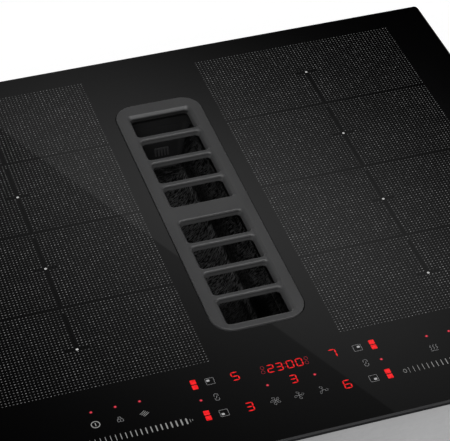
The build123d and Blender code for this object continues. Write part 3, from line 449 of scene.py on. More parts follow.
def lit(name, plain, dark, light, grain, roughness=0.12, strength=1.0, first=0.3):
    """Print of a plain colour with light behind it, which is uneven between two colours."""
    finish = Finish(name)
    uneven = finish.clouds(grain, detail=1.0)
    finish.surface(
        base_color=plain,
        roughness=roughness,
        emission_color=finish.ramp(uneven, (first, dark), (1 - first, light)),
        emission_strength=strength,
    )
    return finish


red_lamp = lit("red_lamp", (0.1, 0.0, 0.0), (0.62, 0.002, 0.005), (1.0, 0.022, 0.026), 0.0016)
bright_lamp = lit(
    "bright_red_lamp", (0.12, 0.01, 0.015), (0.8, 0.03, 0.06), (1.0, 0.08, 0.12), 0.0010,
    strength=0.9, first=0.25,
)
faint_lamp = lit(
    "faint_red_lamp", (0.08, 0.004, 0.006), (0.12, 0.005, 0.010), (0.28, 0.014, 0.028), 0.0012, 0.3
)
white_lamp = lit("white_lamp", 0.3, (0.5, 0.51, 0.52), 0.8, 0.0012, 0.3, 0.3)

lit_bars = {"0": "abcdef", "2": "abged", "3": "abgcd", "5": "afgcd", "6": "afgedc", "7": "abc"}
# rows of the signs, and the width of their fine lines, in millimetres
key_row = -199.8
link_row = -199.9
slider_row = -217.9
fine = 0.38
hairline = 0.36
slant = Matrix(((1, 0.03, 0, 0), (0, 1, 0, 0), (0, 0, 1, 0), (0, 0, 0, 1)))


def digit(figure, x, y, wide, tall, thick):
    """The lit bars of a figure, in millimetres."""
    half, quarter = wide / 2, tall / 4
    places = {}
    for letter, level in (("a", 2), ("g", 0), ("d", -2)):
        places[letter] = at(0, level * quarter, 0, wide, thick)
    for letter, side, level in (("b", 1, 1), ("c", 1, -1), ("e", -1, -1), ("f", -1, 1)):
        places[letter] = at(side * half, level * quarter, 90, 2 * quarter, thick)
    return [at(x, y) @ slant @ places[letter] for letter in lit_bars[figure]]


power_levels = [("5", -41.9, -182.1), ("3", -41.4, -217.7), ("7", 42.1, -181.5), ("6", 41.0, -217.7)]
level_places = []
for figure, x, y in power_levels:
    level_places += digit(figure, x, y - 0.2, 5.5, 8.5, 1.1)
lay("power_level_digits", lamp_bar, level_places, red_lamp)
clock = [("2", -11.7), ("3", -4.2), ("0", 5.0), ("0", 12.9)]
clock_places = []
for figure, x in clock:
    clock_places += digit(figure, x - 0.2, -182.8, 5.0, 8.0, 1.0)
lay("clock_digits", lamp_bar, clock_places, red_lamp)
lay("clock_colon", disc, [at(0.6, -180.4, 0, 1.0, 1.0), at(0.1, -184.6, 0, 1.0, 1.0)], faint_lamp)
lay("fan_level_digit", lamp_bar, digit("3", 1.8, -199.4, 5.2, 8.3, 1.1), red_lamp)
faint_marks = []
for x in (-18.6, 18.9):
    faint_marks += [at(x + lean, y, 0, 3.3, 3.9) for lean, y in ((0.35, -180.2), (-0.35, -185.0))]
lay("clock_side_marks", loop, faint_marks, faint_lamp)

lamp_places = [at(x, -186.0, 0, 1.5, 1.5) for x in (-162.7, -142.9, -122.9, 122.9, 142.7, 162.7)]
lamp_places += [at(x, key_row, 0, 1.5, 1.5) for x in (-76.25, 77.4, -20.4, 19.8)]
lay("key_lamps", disc, lamp_places, bright_lamp)
halo = Matrix.Diagonal((1.75, 1.75, 1, 1))
lower = Matrix.Translation((0, 0, -0.00001))
lay("key_lamp_halos", disc, [lower @ place @ halo for place in lamp_places], faint_lamp)
zone_bars = []
for x in (-76.25, 77.1):
    zone_bars += [at(x, y, 0, 4.7, 4.85) for y in (-178.8, -184.6, -214.0, -219.8)]
lay("zone_lamps", lamp_block, zone_bars, red_lamp)

key_strokes = [stroke(-162.7, -198.2, -162.7, -201.4, 0.8)]
lock_lines = (
    (-145.1, key_row, -140.8, key_row), (-145.2, -202.5, -140.6, -202.5),
    (-145.1, key_row, -145.3, -202.5), (-140.7, key_row, -140.5, -202.5),
    (-144.3, key_row, -144.1, -197.6), (-144.1, -197.6, -142.0, -197.6),
    (-142.0, -197.6, -141.7, key_row),
)
lock_strokes = [stroke(*line, hairline) for line in lock_lines]
lock_strokes.append(stroke(-142.9, -200.5, -142.9, -201.8, 0.4))
wipe_strokes = []
for step in (-1.5, -0.5, 0.5, 1.5):
    x, y = -122.9 + step, key_row - 0.95 * step
    wipe_strokes.append(stroke(x - 2.2, y - 1.55, x + 2.2, y + 1.55, 0.42))


def chain(points, thick):
    """Bars from each point to the next."""
    return [stroke(*start, *end, thick) for start, end in zip(points, points[1:])]


zone_frames = []
for x, y in ((-62.9, -181.6), (-62.9, -218.1), (63.6, -181.6), (63.6, -218.1)):
    left, right, low, high = x - 3.45, x + 3.45, y - 3.5, y + 3.5
    zone_frames += chain(((left, low), (right, low), (right, high), (left, high), (left, low)), 0.34)
lay("zone_key_frames", bar, zone_frames, dim_enamel)
link_strokes = []
for x in (-63.2, 63.9):
    for way in (-1, 1):
        end, start = link_row + way * 3.7, link_row + way * 1.0
        shoulder = end - way * 0.9
        rising = [(x - 1.7, start), (x - 1.7, shoulder), (x - 0.7, end)]
        falling = [(x + 0.7, end), (x + 1.7, shoulder), (x + 1.7, start)]
        link_strokes += chain(rising + falling, fine)
    link_strokes.append(stroke(x - 0.5, -201.1, x + 0.5, -198.7, 0.5))
lay("link_keys", bar, link_strokes, dim_enamel)
spots = [at(-64.3, -180.6, 0, 2.5, 2.1), at(-64.1, -219.2, 0, 2.5, 2.1)]
spots += [at(64.8, -180.7, 0, 2.5, 2.1), at(64.7, -219.2, 0, 2.5, 2.1)]
lay("zone_key_lamps", bar, spots, white_lamp)

heat_strokes = []
for x in (120.7, 123.3, 125.9):
    bends = ((x - 0.5, -202.2), (x + 0.6, -200.6), (x - 0.4, -198.9), (x + 0.7, -196.9))
    heat_strokes += chain(bends, fine)
heat_strokes.append(stroke(120.0, -203.5, 126.2, -203.5, fine))
pause_strokes = [stroke(x, -203.0, x, -196.6, 0.7) for x in (141.6, 144.2)]
timer_strokes = [stroke(162.7, key_row, 162.7, -197.6, fine), stroke(162.7, key_row, 164.3, key_row, fine)]
lay("key_pictograms", bar, key_strokes + wipe_strokes + pause_strokes, white_enamel)
lay("fine_pictograms", bar, lock_strokes + heat_strokes + timer_strokes, dim_enamel)
lay("round_keys", loop, [at(x, key_row, 0, 7.5, 7.5) for x in (-162.7, 162.7)], white_enamel)

petals, arms = [], []
for x, number, first in ((-20.0, 5, 107), (0.0, 4, 98), (20.0, 3, 106)):
    for petal in range(number):
        turn = math.radians(first + 360 * petal / number)
        out_x, out_y = math.cos(turn), math.sin(turn)
        petals.append(at(x + 3.0 * out_x, slider_row + 3.0 * out_y, math.degrees(turn) + 35, 2.9, 2.0))
        arms.append(stroke(x, slider_row, x + 1.9 * out_x, slider_row + 1.9 * out_y, hairline))
lay("fan_pictograms", loop, petals, dim_enamel)
lay("fan_pictogram_arms", bar, arms, dim_enamel)

slider_bars = []
for end in (-93.75, 172.2):
    for step in range(20):
        slider_bars.append(at(end - 4.1 * step, slider_row, 0, 1.3 - 0.052 * step, 6.5))
    slider_bars.append(stroke(end + 2.9, -216.4, end + 2.9, -219.8, 0.34))
    slider_bars.append(stroke(end + 4.6, -217.0, end + 4.9, -219.0, 0.34))
lay("slider_bars", bar, slider_bars, white_enamel)
lay("slider_zeros", loop, [at(x, -218.0, 0, 2.9, 4.3) for x in (-175.3, 90.7)], white_enamel)
for shape in (disc, bar, lamp_block, lamp_bar, loop):
    bpy.data.objects.remove(shape)

# ----- Intake grille
# A cast plate, powder coated dark grey, that drops into the hole in the glass and lifts out.
# Six thin bars and a broad middle one cross its opening, and six soft pads carry it.

grille_low, grille_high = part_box("intake_grille")
plate_under = grille_high.z - 0.006
skirt_wall = 0.003
slot_half_width = 0.0273
slot_ends = [
    (0.1364, 0.1656), (0.1016, 0.1305), (0.0668, 0.0957), (0.03165, 0.0609),
    (-0.0180, 0.01125), (-0.0528, -0.0239), (-0.0876, -0.0587), (-0.1227, -0.0935),
]
# each depth under the top of the plate, and how far a slot's sides have opened there
slot_flare = [
    (0.0052, 0.0003), (0.0041, 0.0006), (0.0036, 0.0008), (0.0026, 0.0013), (0.0020, 0.0016),
    (0.0016, 0.0018), (0.0012, 0.0021), (0.0009, 0.0024), (0.0006, 0.0028), (0.00045, 0.0031),
    (0.0004, 0.0032), (0.0002, 0.0037), (0.00005, 0.0043), (0.0, 0.0045), (-0.0005, 0.0046),
]
bars_sunk = 0.0004
bar_round = 0.0021
bar_half_wide = 0.0302
past_face = 0.001
grille_corner = 0.019
slot_corner = 0.0038


def bar_opening(depth):
    """How far a bar's side has drawn back at a depth: a foot, a shallow hollow and a rounded crest."""
    left = bar_round - min(max(depth, 0), bar_round)
    hollow = 0.0005 * max(0, 1 - abs(depth - 0.0030) / 0.0014)
    return hollow + bar_round - math.sqrt(bar_round * bar_round - left * left)


def rear_opening(depth):
    """How far the opening's rear end has drawn back at a depth: a broad even slope over a plain wall."""
    return 0.0002 + max(0, 0.0024 - depth) * 1.15


def rounded_block(low, high, corner, segments=6):
    """A block between two corners, with its upright edges rounded."""
    bpy.ops.mesh.primitive_cube_add(size=1, location=[(a + b) / 2 for a, b in zip(low, high)])
    block = bpy.context.object
    block.scale = [b - a for a, b in zip(low, high)]
    bpy.ops.object.transform_apply()
    pick(block, lambda first, second: abs(first.z - second.z) > 0.9 * (high[2] - low[2]), "EDGE")
    bpy.ops.mesh.bevel(offset=corner, segments=segments, affect="EDGES")
    leave_edit()
    return block


def cut_away(piece, cutter):
    """Cut one closed shape out of another."""
    take_up(piece)
    modify("BOOLEAN", object=cutter)
    bpy.data.objects.remove(cutter, do_unlink=True)


def smooth(degrees=38):
    """Shade the piece being made smoothly, but for its sharp edges."""
    bpy.ops.object.shade_smooth_by_angle(angle=math.radians(degrees))


def slot_cutter(start, end, start_kind, end_kind):
    """The space of one slot: its sides lean, and so does an end at the rim, while bars are rounded."""
    height = plate_under + 0.0001
    foot = (-slot_half_width, start, plate_under - past_face)
    cutter = rounded_block(foot, (slot_half_width, end, height), slot_corner)
    wide, long, middle = 2 * slot_half_width, end - start, (start + end) / 2
    pick(cutter, lambda x, y, z: z > plate_under)
    for depth, side_growth in slot_flare:
        choices = {
            "rim": side_growth,
            "rear": rear_opening(depth),
            "broad": bar_opening(depth),
            "bar": bar_opening(depth - bars_sunk),
        }
        before, after = choices[start_kind], choices[end_kind]
        new_wide = 2 * (slot_half_width + side_growth)
        new_long = end - start + before + after
        new_middle = (start + end + after - before) / 2
        step = (0, new_middle - middle, grille_high.z - depth - height)
        bpy.ops.mesh.extrude_region_move(TRANSFORM_OT_translate={"value": step})
        height, middle = grille_high.z - depth, new_middle
        grown = (new_wide / wide, new_long / long, 1)
        bpy.ops.transform.resize(value=grown, center_override=(0, middle, height))
        wide, long = new_wide, new_long
    leave_edit()
    return cutter


grille = rounded_block(grille_low, grille_high, grille_corner, 14)
pick(grille, lambda x, y, z: z > plate_under)
bpy.ops.mesh.bevel(offset=0.0007, segments=3, affect="EDGES")
leave_edit()
inner_low = (grille_low.x + skirt_wall, grille_low.y + skirt_wall, grille_low.z - past_face)
inner_high = (grille_high.x - skirt_wall, grille_high.y - skirt_wall, plate_under)
cut_away(grille, rounded_block(inner_low, inner_high, grille_corner - skirt_wall, 10))
slot_kinds = [
    ("bar", "rear"), ("bar", "bar"), ("bar", "bar"), ("broad", "bar"),
    ("bar", "broad"), ("bar", "bar"), ("bar", "bar"), ("rim", "bar"),
]
for (start, end), (start_kind, end_kind) in zip(slot_ends, slot_kinds):
    cut_away(grille, slot_cutter(start, end, start_kind, end_kind))
for start, end in ((-0.108, -0.003), (0.046, 0.151)):
    bar_top = grille_high.z - bars_sunk
    over_bars = (bar_half_wide, end, bar_top + past_face)
    cut_away(grille, rounded_block((-bar_half_wide, start, bar_top), over_bars, 0.001, 1))
smooth()

coating = Finish("grille_coating")
orange_peel = coating.clouds(0.0011)
handled = coating.clouds(0.05, detail=3.0)
_, y, z = coating.along(coating.place())
# painted shade: the wall at the rear end of the opening is darkened nearly to black, as it looks in the photo
on_rear_wall = coating.between(y, 0.1630, 0.1640) * (1 - coating.between(y, 0.1665, 0.1675))
painted_rear_shade = on_rear_wall * (1 - coating.between(z, grille_high.z - 0.0030, grille_high.z - 0.0022))
coated = coating.ramp(
    handled * 0.6 + orange_peel * 0.4, (0.3, (0.056, 0.056, 0.057)), (0.7, (0.070, 0.070, 0.071))
)
coating.surface(
    base_color=coating.mix(painted_rear_shade, coated, 0.006),
    roughness=0.30 + handled * 0.08 + painted_rear_shade * 0.4,
    normal=coating.raised(orange_peel, 0.00005, 0.6),
)
settle("cast_grille", coating)
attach(grille, "grille")
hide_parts("intake_grille")

# ----- Grease filter
# A basket that hangs in the intake collar: a black stamped frame with windows, lined with a mat of
# crumpled knitted wire. Its rear end is closed by a plain wall with a ribbed grip for the finger.

filter_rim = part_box("filter_mesh")[1].z
filter_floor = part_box("filter_mesh")[0].z
duct_middle = 0.02145

knit = Finish("knitted_wire")
x, y, z = knit.along(knit.place())
# the wires bend from lengthwise to crosswise over the floor, and lean up the walls
bend_x = knit.between(x, -0.030, 0.017) * 0.047 - 0.030
across = y - bend_x * 0.9 - bend_x * bend_x * 22.5 + z * 0.33
sideways = abs(x)
strand = knit.node("CombineXYZ", {"X": x / 0.0034, "Y": across / 0.00070, "Z": z / 0.0060})
strokes = knit.node("TexNoise", {"Vector": strand, "Scale": 1.0, "Detail": 0.0}, "Fac")
strand = knit.node("CombineXYZ", {"X": x / 0.0050, "Y": across / 0.00075, "Z": z / 0.0040})
wall_strokes = knit.node("TexNoise", {"Vector": strand, "Scale": 1.0, "Detail": 0.0}, "Fac")
on_wall = knit.between(sideways, 0.0158, 0.0175)
floor_wire = knit.between(strokes, 0.48, 0.59)
wire = floor_wire * (1 - on_wall) + knit.between(wall_strokes, 0.50, 0.60) * on_wall
# painted highlight: a band along the fold between the floor and the walls is made lighter
painted_fold_highlight = 1 - knit.between(abs(sideways - 0.0140), 0.0008, 0.0030)
# painted shade: a band just above the fold is made darker
painted_wall_shade = 1 - knit.between(abs(sideways - 0.0178), 0.0012, 0.0030)
grease = knit.clouds(0.012, detail=3.0)
# at the rear end hardly a wire shows: the wires are darkened, and thin wavy lines of painted highlight lie
# over them
at_rear = knit.between(y - x * 0.35, 0.128, 0.138)
wave_pattern = knit.clouds(1.0, points=knit.place(scale=(0.014, 0.004, 0.02)), detail=1.0)
painted_wavy_highlight = 1 - knit.between(abs(wave_pattern - 0.5), 0.0, 0.035)
# painted shadow: the front part of the mat is darkened nearly to black, as in the photo, and most of all
# right of its middle
painted_front_shadow = 1 - knit.between(y + z - filter_floor - 0.0075, -0.050, -0.040)
right_half = knit.between(x, 0.006, 0.011) * (1 - knit.between(x, 0.0210, 0.0230))
# the wires' tone with painted light: the fold's painted highlight, the band's painted shade, walls a little
# darker, and uneven grease
wire_light_and_shade = wire * (0.45 + painted_fold_highlight * 0.30 - on_wall * 0.10 - painted_wall_shade * 0.18) * (0.6 + grease * 0.8)
wire_light_and_shade = wire_light_and_shade * (1 - painted_front_shadow * (0.72 + right_half * 0.24 - painted_fold_highlight * 0.3))
shine = wire_light_and_shade * (1 - at_rear * 0.85) + painted_wavy_highlight * at_rear * 0.3
knit.surface(
    base_color=knit.mix(shine, 0.0015, (0.20, 0.20, 0.203)),
    metallic=0.1 + wire * 0.3,
    roughness=0.28 + grease * 0.16,
    specular_ior_level=0.1,
    normal=knit.raised(wire, 0.00025),
)


def crumple(size, depth):
    """Dent the piece being made with a soft uneven pattern."""
    dents = bpy.data.textures.new("dents", "CLOUDS")
    dents.noise_scale = size
    modify("DISPLACE", texture=dents, strength=depth)


def slice_evenly(axis, low, high, step):
    """Cut the faces of the piece being made into strips, so that it can be dented."""
    direction = [float(number == axis) for number in range(3)]
    bpy.ops.object.mode_set(mode="EDIT")
    for number in range(1, round((high - low) / step)):
        spot = [value * (low + number * step) for value in direction]
        bpy.ops.mesh.select_all(action="SELECT")
        bpy.ops.mesh.bisect(plane_co=spot, plane_no=direction)
    leave_edit()


lining_top = filter_rim + 0.0085
mat_level = filter_floor + 0.0075
lining_half_wide = 0.0295
lining_half_long = 0.1455
strip = 0.0022
lining = rounded_block(
    (-lining_half_wide, duct_middle - lining_half_long, mat_level),
    (lining_half_wide, duct_middle + lining_half_long, lining_top),
    0.007,
    5,
)
# heights over the mat, with the share of its full width and length that the lining has there
for height, wide, long in (
    (0.0290, 0.895, 0.983), (0.0220, 0.805, 0.966), (0.0055, 0.640, 0.924), (0.0, 0.565, 0.911)
):
    if height:
        edit_all()
        bpy.ops.mesh.bisect(plane_co=(0, 0, mat_level + height), plane_no=(0, 0, 1))
        leave_edit()
    pick(lining, lambda x, y, z: abs(z - mat_level - height) < 0.0001)
    bpy.ops.transform.resize(value=(wide, long, 1), center_override=(0, duct_middle, mat_level))
    leave_edit()
pick(lining, lambda x, y, z: z < mat_level + 0.0001)
bpy.ops.mesh.bevel(offset=0.0040, segments=4, affect="EDGES")
leave_edit()
pick(lining, lambda centre, normal: normal.z > 0.9 or centre.z > lining_top - 0.0001, "FACE")
bpy.ops.mesh.delete(type="FACE")
leave_edit()
slice_evenly(1, duct_middle - 0.147, duct_middle + 0.147, strip)
slice_evenly(0, -0.030, 0.030, strip)
slice_evenly(2, mat_level, lining_top, strip)
pick(lining, lambda centre, normal: centre.y > 0.120 and abs(normal.y) > 0.15, "FACE")
bpy.ops.mesh.separate(type="SELECTED")
leave_edit()
end_wall = [piece for piece in bpy.context.selected_objects if piece != lining][0]
take_up(lining)
crumple(0.0045, 0.0007)
crumple(0.0016, 0.00025)
modify("SUBSURF", levels=1)
smooth(60)
settle("knitted_filter_lining", knit)
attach(lining, "filter")
dress(knit, "filter_mesh")

filter_black = Finish("filter_frame_black")
stamped = filter_black.clouds(0.0008)
greasy = filter_black.clouds(0.02)
filter_black.surface(
    base_color=filter_black.ramp(stamped, (0.3, 0.010), (0.7, 0.018)),
    roughness=0.3 + greasy * 0.2,
    normal=filter_black.raised(stamped, 0.00004, 0.5),
)
dress(filter_black, "filter_frame")


def moulded(name, dark, light, roughness, grain=0.0009, relief=0.00004, gloss=0.5):
    """Plastic as it comes from the mould: a fine grain and faint flow marks, and dust in places."""
    finish = Finish(name)
    eroded = finish.clouds(grain)
    flow = finish.clouds(1.0, points=finish.place(scale=(0.08, 0.08, 0.015)), detail=3.0)
    dusty = finish.clouds(0.05, detail=5.0, rough=0.7)
    shade = eroded * 0.3 + flow * 0.3 + dusty * 0.4
    finish.surface(
        base_color=finish.ramp(shade, (0.36, dark), (0.64, light)),
        roughness=roughness - 0.05 + dusty * 0.14,
        specular_ior_level=gloss,
        normal=finish.raised(eroded, relief, 0.7),
    )
    return finish


collar_plastic = moulded("collar_plastic", (0.018, 0.018, 0.0185), (0.030, 0.030, 0.031), 0.42)
take_up(end_wall)
smooth(60)
end_plastic = moulded("filter_end_plastic", (0.010, 0.010, 0.0105), (0.018, 0.018, 0.0185), 0.45, gloss=0.12)
settle("filter_end_wall", end_plastic)
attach(end_wall, "filter")
grip_low, grip_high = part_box("filter_grip")
grip_low.z += 0.0015
grip_front = grip_high.y - 0.0032
grip = rounded_block(
    (grip_low.x, grip_front, grip_low.z), (grip_high.x, grip_high.y - 0.0012, grip_high.z), 0.0006, 3
)
grip_middle = (grip_low.z + grip_high.z) / 2
grip_plate = moulded("grip_plastic", (0.045, 0.045, 0.046), (0.07, 0.07, 0.072), 0.30)
rib_step = (grip_high.x - grip_low.x - 0.0016) / 4
rib_tall = grip_high.z - grip_low.z - 0.001
first_rib = (grip_low.x + 0.0008, grip_front, grip_middle)
bpy.ops.mesh.primitive_cylinder_add(vertices=16, radius=0.0011, depth=rib_tall, location=first_rib)
bpy.ops.object.transform_apply()
ribs = bpy.context.object
repeat(5, (rib_step, 0, 0))
take_up(grip, ribs)
bpy.ops.object.join()
edit_all()
middle = ((grip_low.x + grip_high.x) / 2, grip_high.y - 0.0022, grip_middle)
bpy.ops.transform.rotate(value=math.radians(12), orient_axis="X", center_override=middle)
leave_edit()
smooth(40)
settle("ribbed_grip", grip_plate)
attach(grip, "filter")
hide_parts("filter_grip")

# ----- Collar, seals and drip tray
# The collar is a moulded ring bonded under the glass that guides the air down into the tub's neck.
# Silicone and closed-cell foam seal the joints, and a deep tray catches what runs through the slots.

dress(collar_plastic, "intake_collar")

silicone = Finish("silicone")
drawn = silicone.clouds(1.0, points=silicone.place(scale=(0.004, 0.004, 0.0006)))
sticky = silicone.clouds(0.015, detail=4.0)
silicone.surface(
    base_color=silicone.ramp(sticky, (0.3, (0.010, 0.010, 0.011)), (0.7, (0.022, 0.022, 0.023))),
    roughness=0.28 + sticky * 0.2,
    normal=silicone.raised(drawn, 0.0002, 0.6),
)
dress(silicone, "glass_bond", "collar_seal")

foam = Finish("seal_foam")
pores = foam.node("TexVoronoi", {"Vector": foam.place(), "Scale": 1700.0}, "Distance")
squashed = foam.clouds(0.02)
foam.surface(
    base_color=foam.mix(foam.between(pores, 0.1, 0.6), 0.003, (0.016, 0.016, 0.017)),
    roughness=0.75 + squashed * 0.15,
    normal=foam.raised(pores, 0.0003),
)
dress(foam, "worktop_gasket", "shaft_seal")

pad_rubber = moulded("pad_rubber", 0.02, 0.035, 0.6, 0.0006, 0.00006)
dress(pad_rubber, "grille_pads")

tray_plastic = moulded("tray_plastic", (0.012, 0.012, 0.013), (0.024, 0.024, 0.025), 0.3, 0.0012, 0.00002)
dress(tray_plastic, "drip_tray")

# ----- Steel tub
# Folded from hot-dip galvanised sheet, a millimetre thick, and spot-welded at the corners.
# Louvres and curved slots let cooling air through, and a rubber bush guards the mains lead's hole.


def galvanised_steel(name, dark, light, spread=0.0):
    """Zinc-coated sheet: crystals of a few millimetres, rolling marks and a bloom of white oxide.

    A spread above 0 paints light on it that makes it paler towards the right end, as the tub's front looks in
    the photo.
    """
    finish = Finish(name)
    points = finish.place()
    cell = finish.node("TexVoronoi", {"Vector": points, "Scale": 260.0, "Randomness": 1.0}, "Color")
    tone = finish.along(cell)[0]
    rolled = finish.clouds(1.0, points=finish.place(scale=(0.09, 0.0012, 0.0012)), detail=3.0)
    bloom = finish.clouds(0.06, detail=6.0, rough=0.65)
    # painted light: the sheet is made paler towards the right end
    painted_light_to_right = finish.between(finish.along(points)[0], -0.06, 0.27)
    grain = tone * 0.15 + rolled * 0.25 + bloom * 0.60
    shade = grain * (1.0 - spread) + painted_light_to_right * spread
    finish.surface(
        base_color=finish.ramp(shade, (0.25, dark), (0.75, light)),
        metallic=0.35,
        roughness=0.42 + tone * 0.06 + bloom * 0.12,
        normal=finish.raised(rolled, 0.00001, 0.5),
    )
    return finish


tub_steel = galvanised_steel("tub_steel", (0.375, 0.375, 0.38), (0.57, 0.57, 0.575), 0.55)
dress(tub_steel, "base_tub", "touch_bracket")
dark_plastic = moulded("dark_plastic", (0.014, 0.014, 0.015), (0.028, 0.028, 0.029), 0.45)
dress(dark_plastic, "mains_bush")

dress(moulded("terminal_plastic", (0.50, 0.49, 0.45), (0.68, 0.67, 0.63), 0.5, 0.0014), "terminal_block")

# ----- Induction coils
# Each coil is a flat ring of litz wire wound on a glass-filled former, over bars of pressed ferrite.
# Sheets of mica keep it off the glass, and folded aluminium carriers press it up from below.

coil_low, coil_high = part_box("coil_right_1")
next_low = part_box("coil_right_2")[0]
coil_pitch = next_low.y - coil_low.y
coil_half_x = (coil_high.x - coil_low.x) / 2
coil_half_y = (coil_high.y - coil_low.y) / 2
coil_corner = 0.034

litz = Finish("litz_copper")
x, y, _ = litz.along(litz.place())
from_middle_x = abs(abs(x) - (coil_low.x + coil_half_x))
from_middle_y = abs((y - coil_low.y) % coil_pitch - coil_half_y)
past_x = (from_middle_x - (coil_half_x - coil_corner)).above_zero()
past_y = (from_middle_y - (coil_half_y - coil_corner)).above_zero()
outward = (past_x * past_x + past_y * past_y) ** 0.5
turn_pitch_mm = 2.6
turns = abs(((outward * 1000.0 / turn_pitch_mm) % 1.0) - 0.5) * 2.0
twisted = litz.place(turn=(0, 0, 0.6), scale=(0.0011, 0.0003, 0.0006))
strands = litz.clouds(1.0, points=twisted)
varnish = litz.clouds(0.02, detail=3.0)
litz.surface(
    base_color=litz.ramp(
        strands * 0.6 + varnish * 0.4, (0.3, (0.34, 0.12, 0.05)), (0.7, (0.62, 0.26, 0.12))
    ),
    metallic=0.75,
    roughness=0.3 + varnish * 0.15,
    coat_weight=0.4 + varnish * 0.3,
    normal=litz.raised((1 - turns ** 3.0) * 0.85 + strands * 0.15, 0.0012),
)
coil_names = [f"coil_{side}_{number}" for side in ("left", "right") for number in range(1, 5)]
dress(litz, *coil_names)

former_plastic = moulded("former_plastic", (0.016, 0.015, 0.014), (0.032, 0.030, 0.028), 0.5, 0.0012)
dress(former_plastic, "coil_formers_left", "coil_formers_right")

ferrite = Finish("ferrite")
sintered = ferrite.clouds(0.0004, detail=3.0)
pits = ferrite.between(ferrite.clouds(0.0015, detail=1.0), 0.66, 0.72)
ferrite.surface(
    base_color=ferrite.mix(pits, (0.022, 0.021, 0.021), 0.008),
    roughness=0.5 + sintered * 0.2,
    metallic=0.2,
    normal=ferrite.raised(sintered - pits * 0.8, 0.00008),
)
dress(ferrite, "coil_ferrites")

ceramic = Finish("sensor_ceramic")
glazed = ceramic.clouds(0.0015, detail=4.0)
ceramic.surface(
    base_color=ceramic.ramp(glazed, (0.35, (0.55, 0.53, 0.48)), (0.65, (0.74, 0.72, 0.67))),
    roughness=0.35 + glazed * 0.25,
    normal=ceramic.raised(glazed, 0.00005),
)
dress(ceramic, "coil_sensors")

mica = Finish("mica")
flakes = mica.node("TexVoronoi", {"Vector": mica.place(scale=(1, 1, 0.3)), "Scale": 260.0}, "Color")
flake = mica.along(flakes)[0]
layered = mica.clouds(0.01, detail=5.0)
mica.surface(
    base_color=mica.ramp(flake * 0.5 + layered * 0.5, (0.3, (0.30, 0.23, 0.13)), (0.7, (0.55, 0.47, 0.31))),
    roughness=0.22 + flake * 0.3,
    normal=mica.raised(flake, 0.00002),
)
dress(mica, "insulation_sheet_left", "insulation_sheet_right")


def streaked_metal(name, along, dark=(0.42, 0.42, 0.43), light=(0.62, 0.62, 0.63)):
    """Bright metal with fine streaks along one direction, from rolling, drawing or grinding."""
    finish = Finish(name)
    streak = finish.clouds(1.0, points=finish.place(scale=along), detail=4.0)
    stained = finish.clouds(0.04, detail=4.0)
    finish.surface(
        base_color=finish.ramp(streak * 0.6 + stained * 0.4, (0.35, dark), (0.65, light)),
        metallic=0.95,
        roughness=0.26 + streak * 0.14 + stained * 0.08,
        normal=finish.raised(streak, 0.00001, 0.6),
    )
    return finish


dress(streaked_metal("carrier_aluminium", (0.0006, 0.06, 0.0006)), "coil_carrier_left", "coil_carrier_right")

# ----- Power boards and cooling fans
# One power board on nylon stand-offs feeds each pair of zones, with its switches under a finned
# heatsink. An axial fan in the front corner blows along it, and the louvres let the air out.

laminate = Finish("fibreglass")
points = laminate.place()
weave = laminate.node("TexWave", {"Vector": points, "Scale": 700.0}, "Fac", bands_direction="X")
brick = {
    "Vector": points, "Scale": 90.0, "Brick Width": 0.9, "Row Height": 0.32,
    "Mortar Size": 0.06, "Mortar Smooth": 0.0,
}
lanes = laminate.node(
    "TexBrick", brick, "Fac", offset=0.37, offset_frequency=3, squash=0.6, squash_frequency=5
)
copper_plane = laminate.between(laminate.clouds(0.03, detail=0.0), 0.5, 0.52)
holes = laminate.node("TexVoronoi", {"Vector": points, "Scale": 210.0, "Randomness": 0.6}, "Distance")
solder = laminate.between(holes, 0.14, 0.10)
mask = laminate.mix(lanes * (1 - copper_plane), (0.006, 0.075, 0.028), (0.012, 0.15, 0.055))
laminate.surface(
    base_color=laminate.mix(solder, mask, (0.55, 0.55, 0.52)),
    metallic=solder * 0.9,
    roughness=0.32 + weave * 0.08 - solder * 0.1,
    normal=laminate.raised(lanes * 0.5 + weave * 0.1 + solder, 0.00006),
)
dress(laminate, "power_board_left", "power_board_right", "touch_board")

dress(moulded("standoff_nylon", (0.60, 0.59, 0.55), (0.74, 0.73, 0.69), 0.4), "board_standoffs")

sink_aluminium = streaked_metal(
    "sink_aluminium", (0.0005, 0.05, 0.0005), (0.50, 0.50, 0.51), (0.70, 0.70, 0.71)
)
dress(sink_aluminium, "heatsink_left", "heatsink_right")

fan_plastic = moulded("fan_plastic", 0.012, 0.024, 0.36)
fan_names = [f"cooling_fan_{part}_{side}" for part in ("frame", "rotor") for side in ("left", "right")]
dress(fan_plastic, *fan_names)

dress(moulded("guide_plastic", 0.10, 0.16, 0.25), "light_guide")

# ----- Air box and fan housing
# Two grey moulded shells, screwed together at the part line, lead the air down from the intake and
# back to the fan. The fan's spiral housing sits inside and carries the motor on rubber bushes.

box_plastic = moulded("box_plastic", (0.055, 0.056, 0.058), (0.085, 0.086, 0.088), 0.5, 0.0013, 0.00008)
dress(box_plastic, "air_box_upper", "air_box_lower")
dress(dark_plastic, "scroll_lower", "scroll_upper")

dress(moulded("wheel_plastic", (0.10, 0.10, 0.105), (0.15, 0.15, 0.155), 0.4), "impeller")

# ----- Fan motor
# An external-rotor motor: a deep-drawn rotor shell turns round a stator of stamped sheets, on ball
# bearings and a ground shaft, and a pressed steel mount holds it through rubber bushes.

motor_steel = streaked_metal("motor_steel", (0.002, 0.002, 0.03), (0.22, 0.22, 0.23), (0.38, 0.38, 0.39))
dress(motor_steel, "motor_rotor")
dress(galvanised_steel("mount_steel", (0.24, 0.245, 0.25), (0.42, 0.425, 0.43)), "motor_mount")
dress(pad_rubber, "motor_bushes")

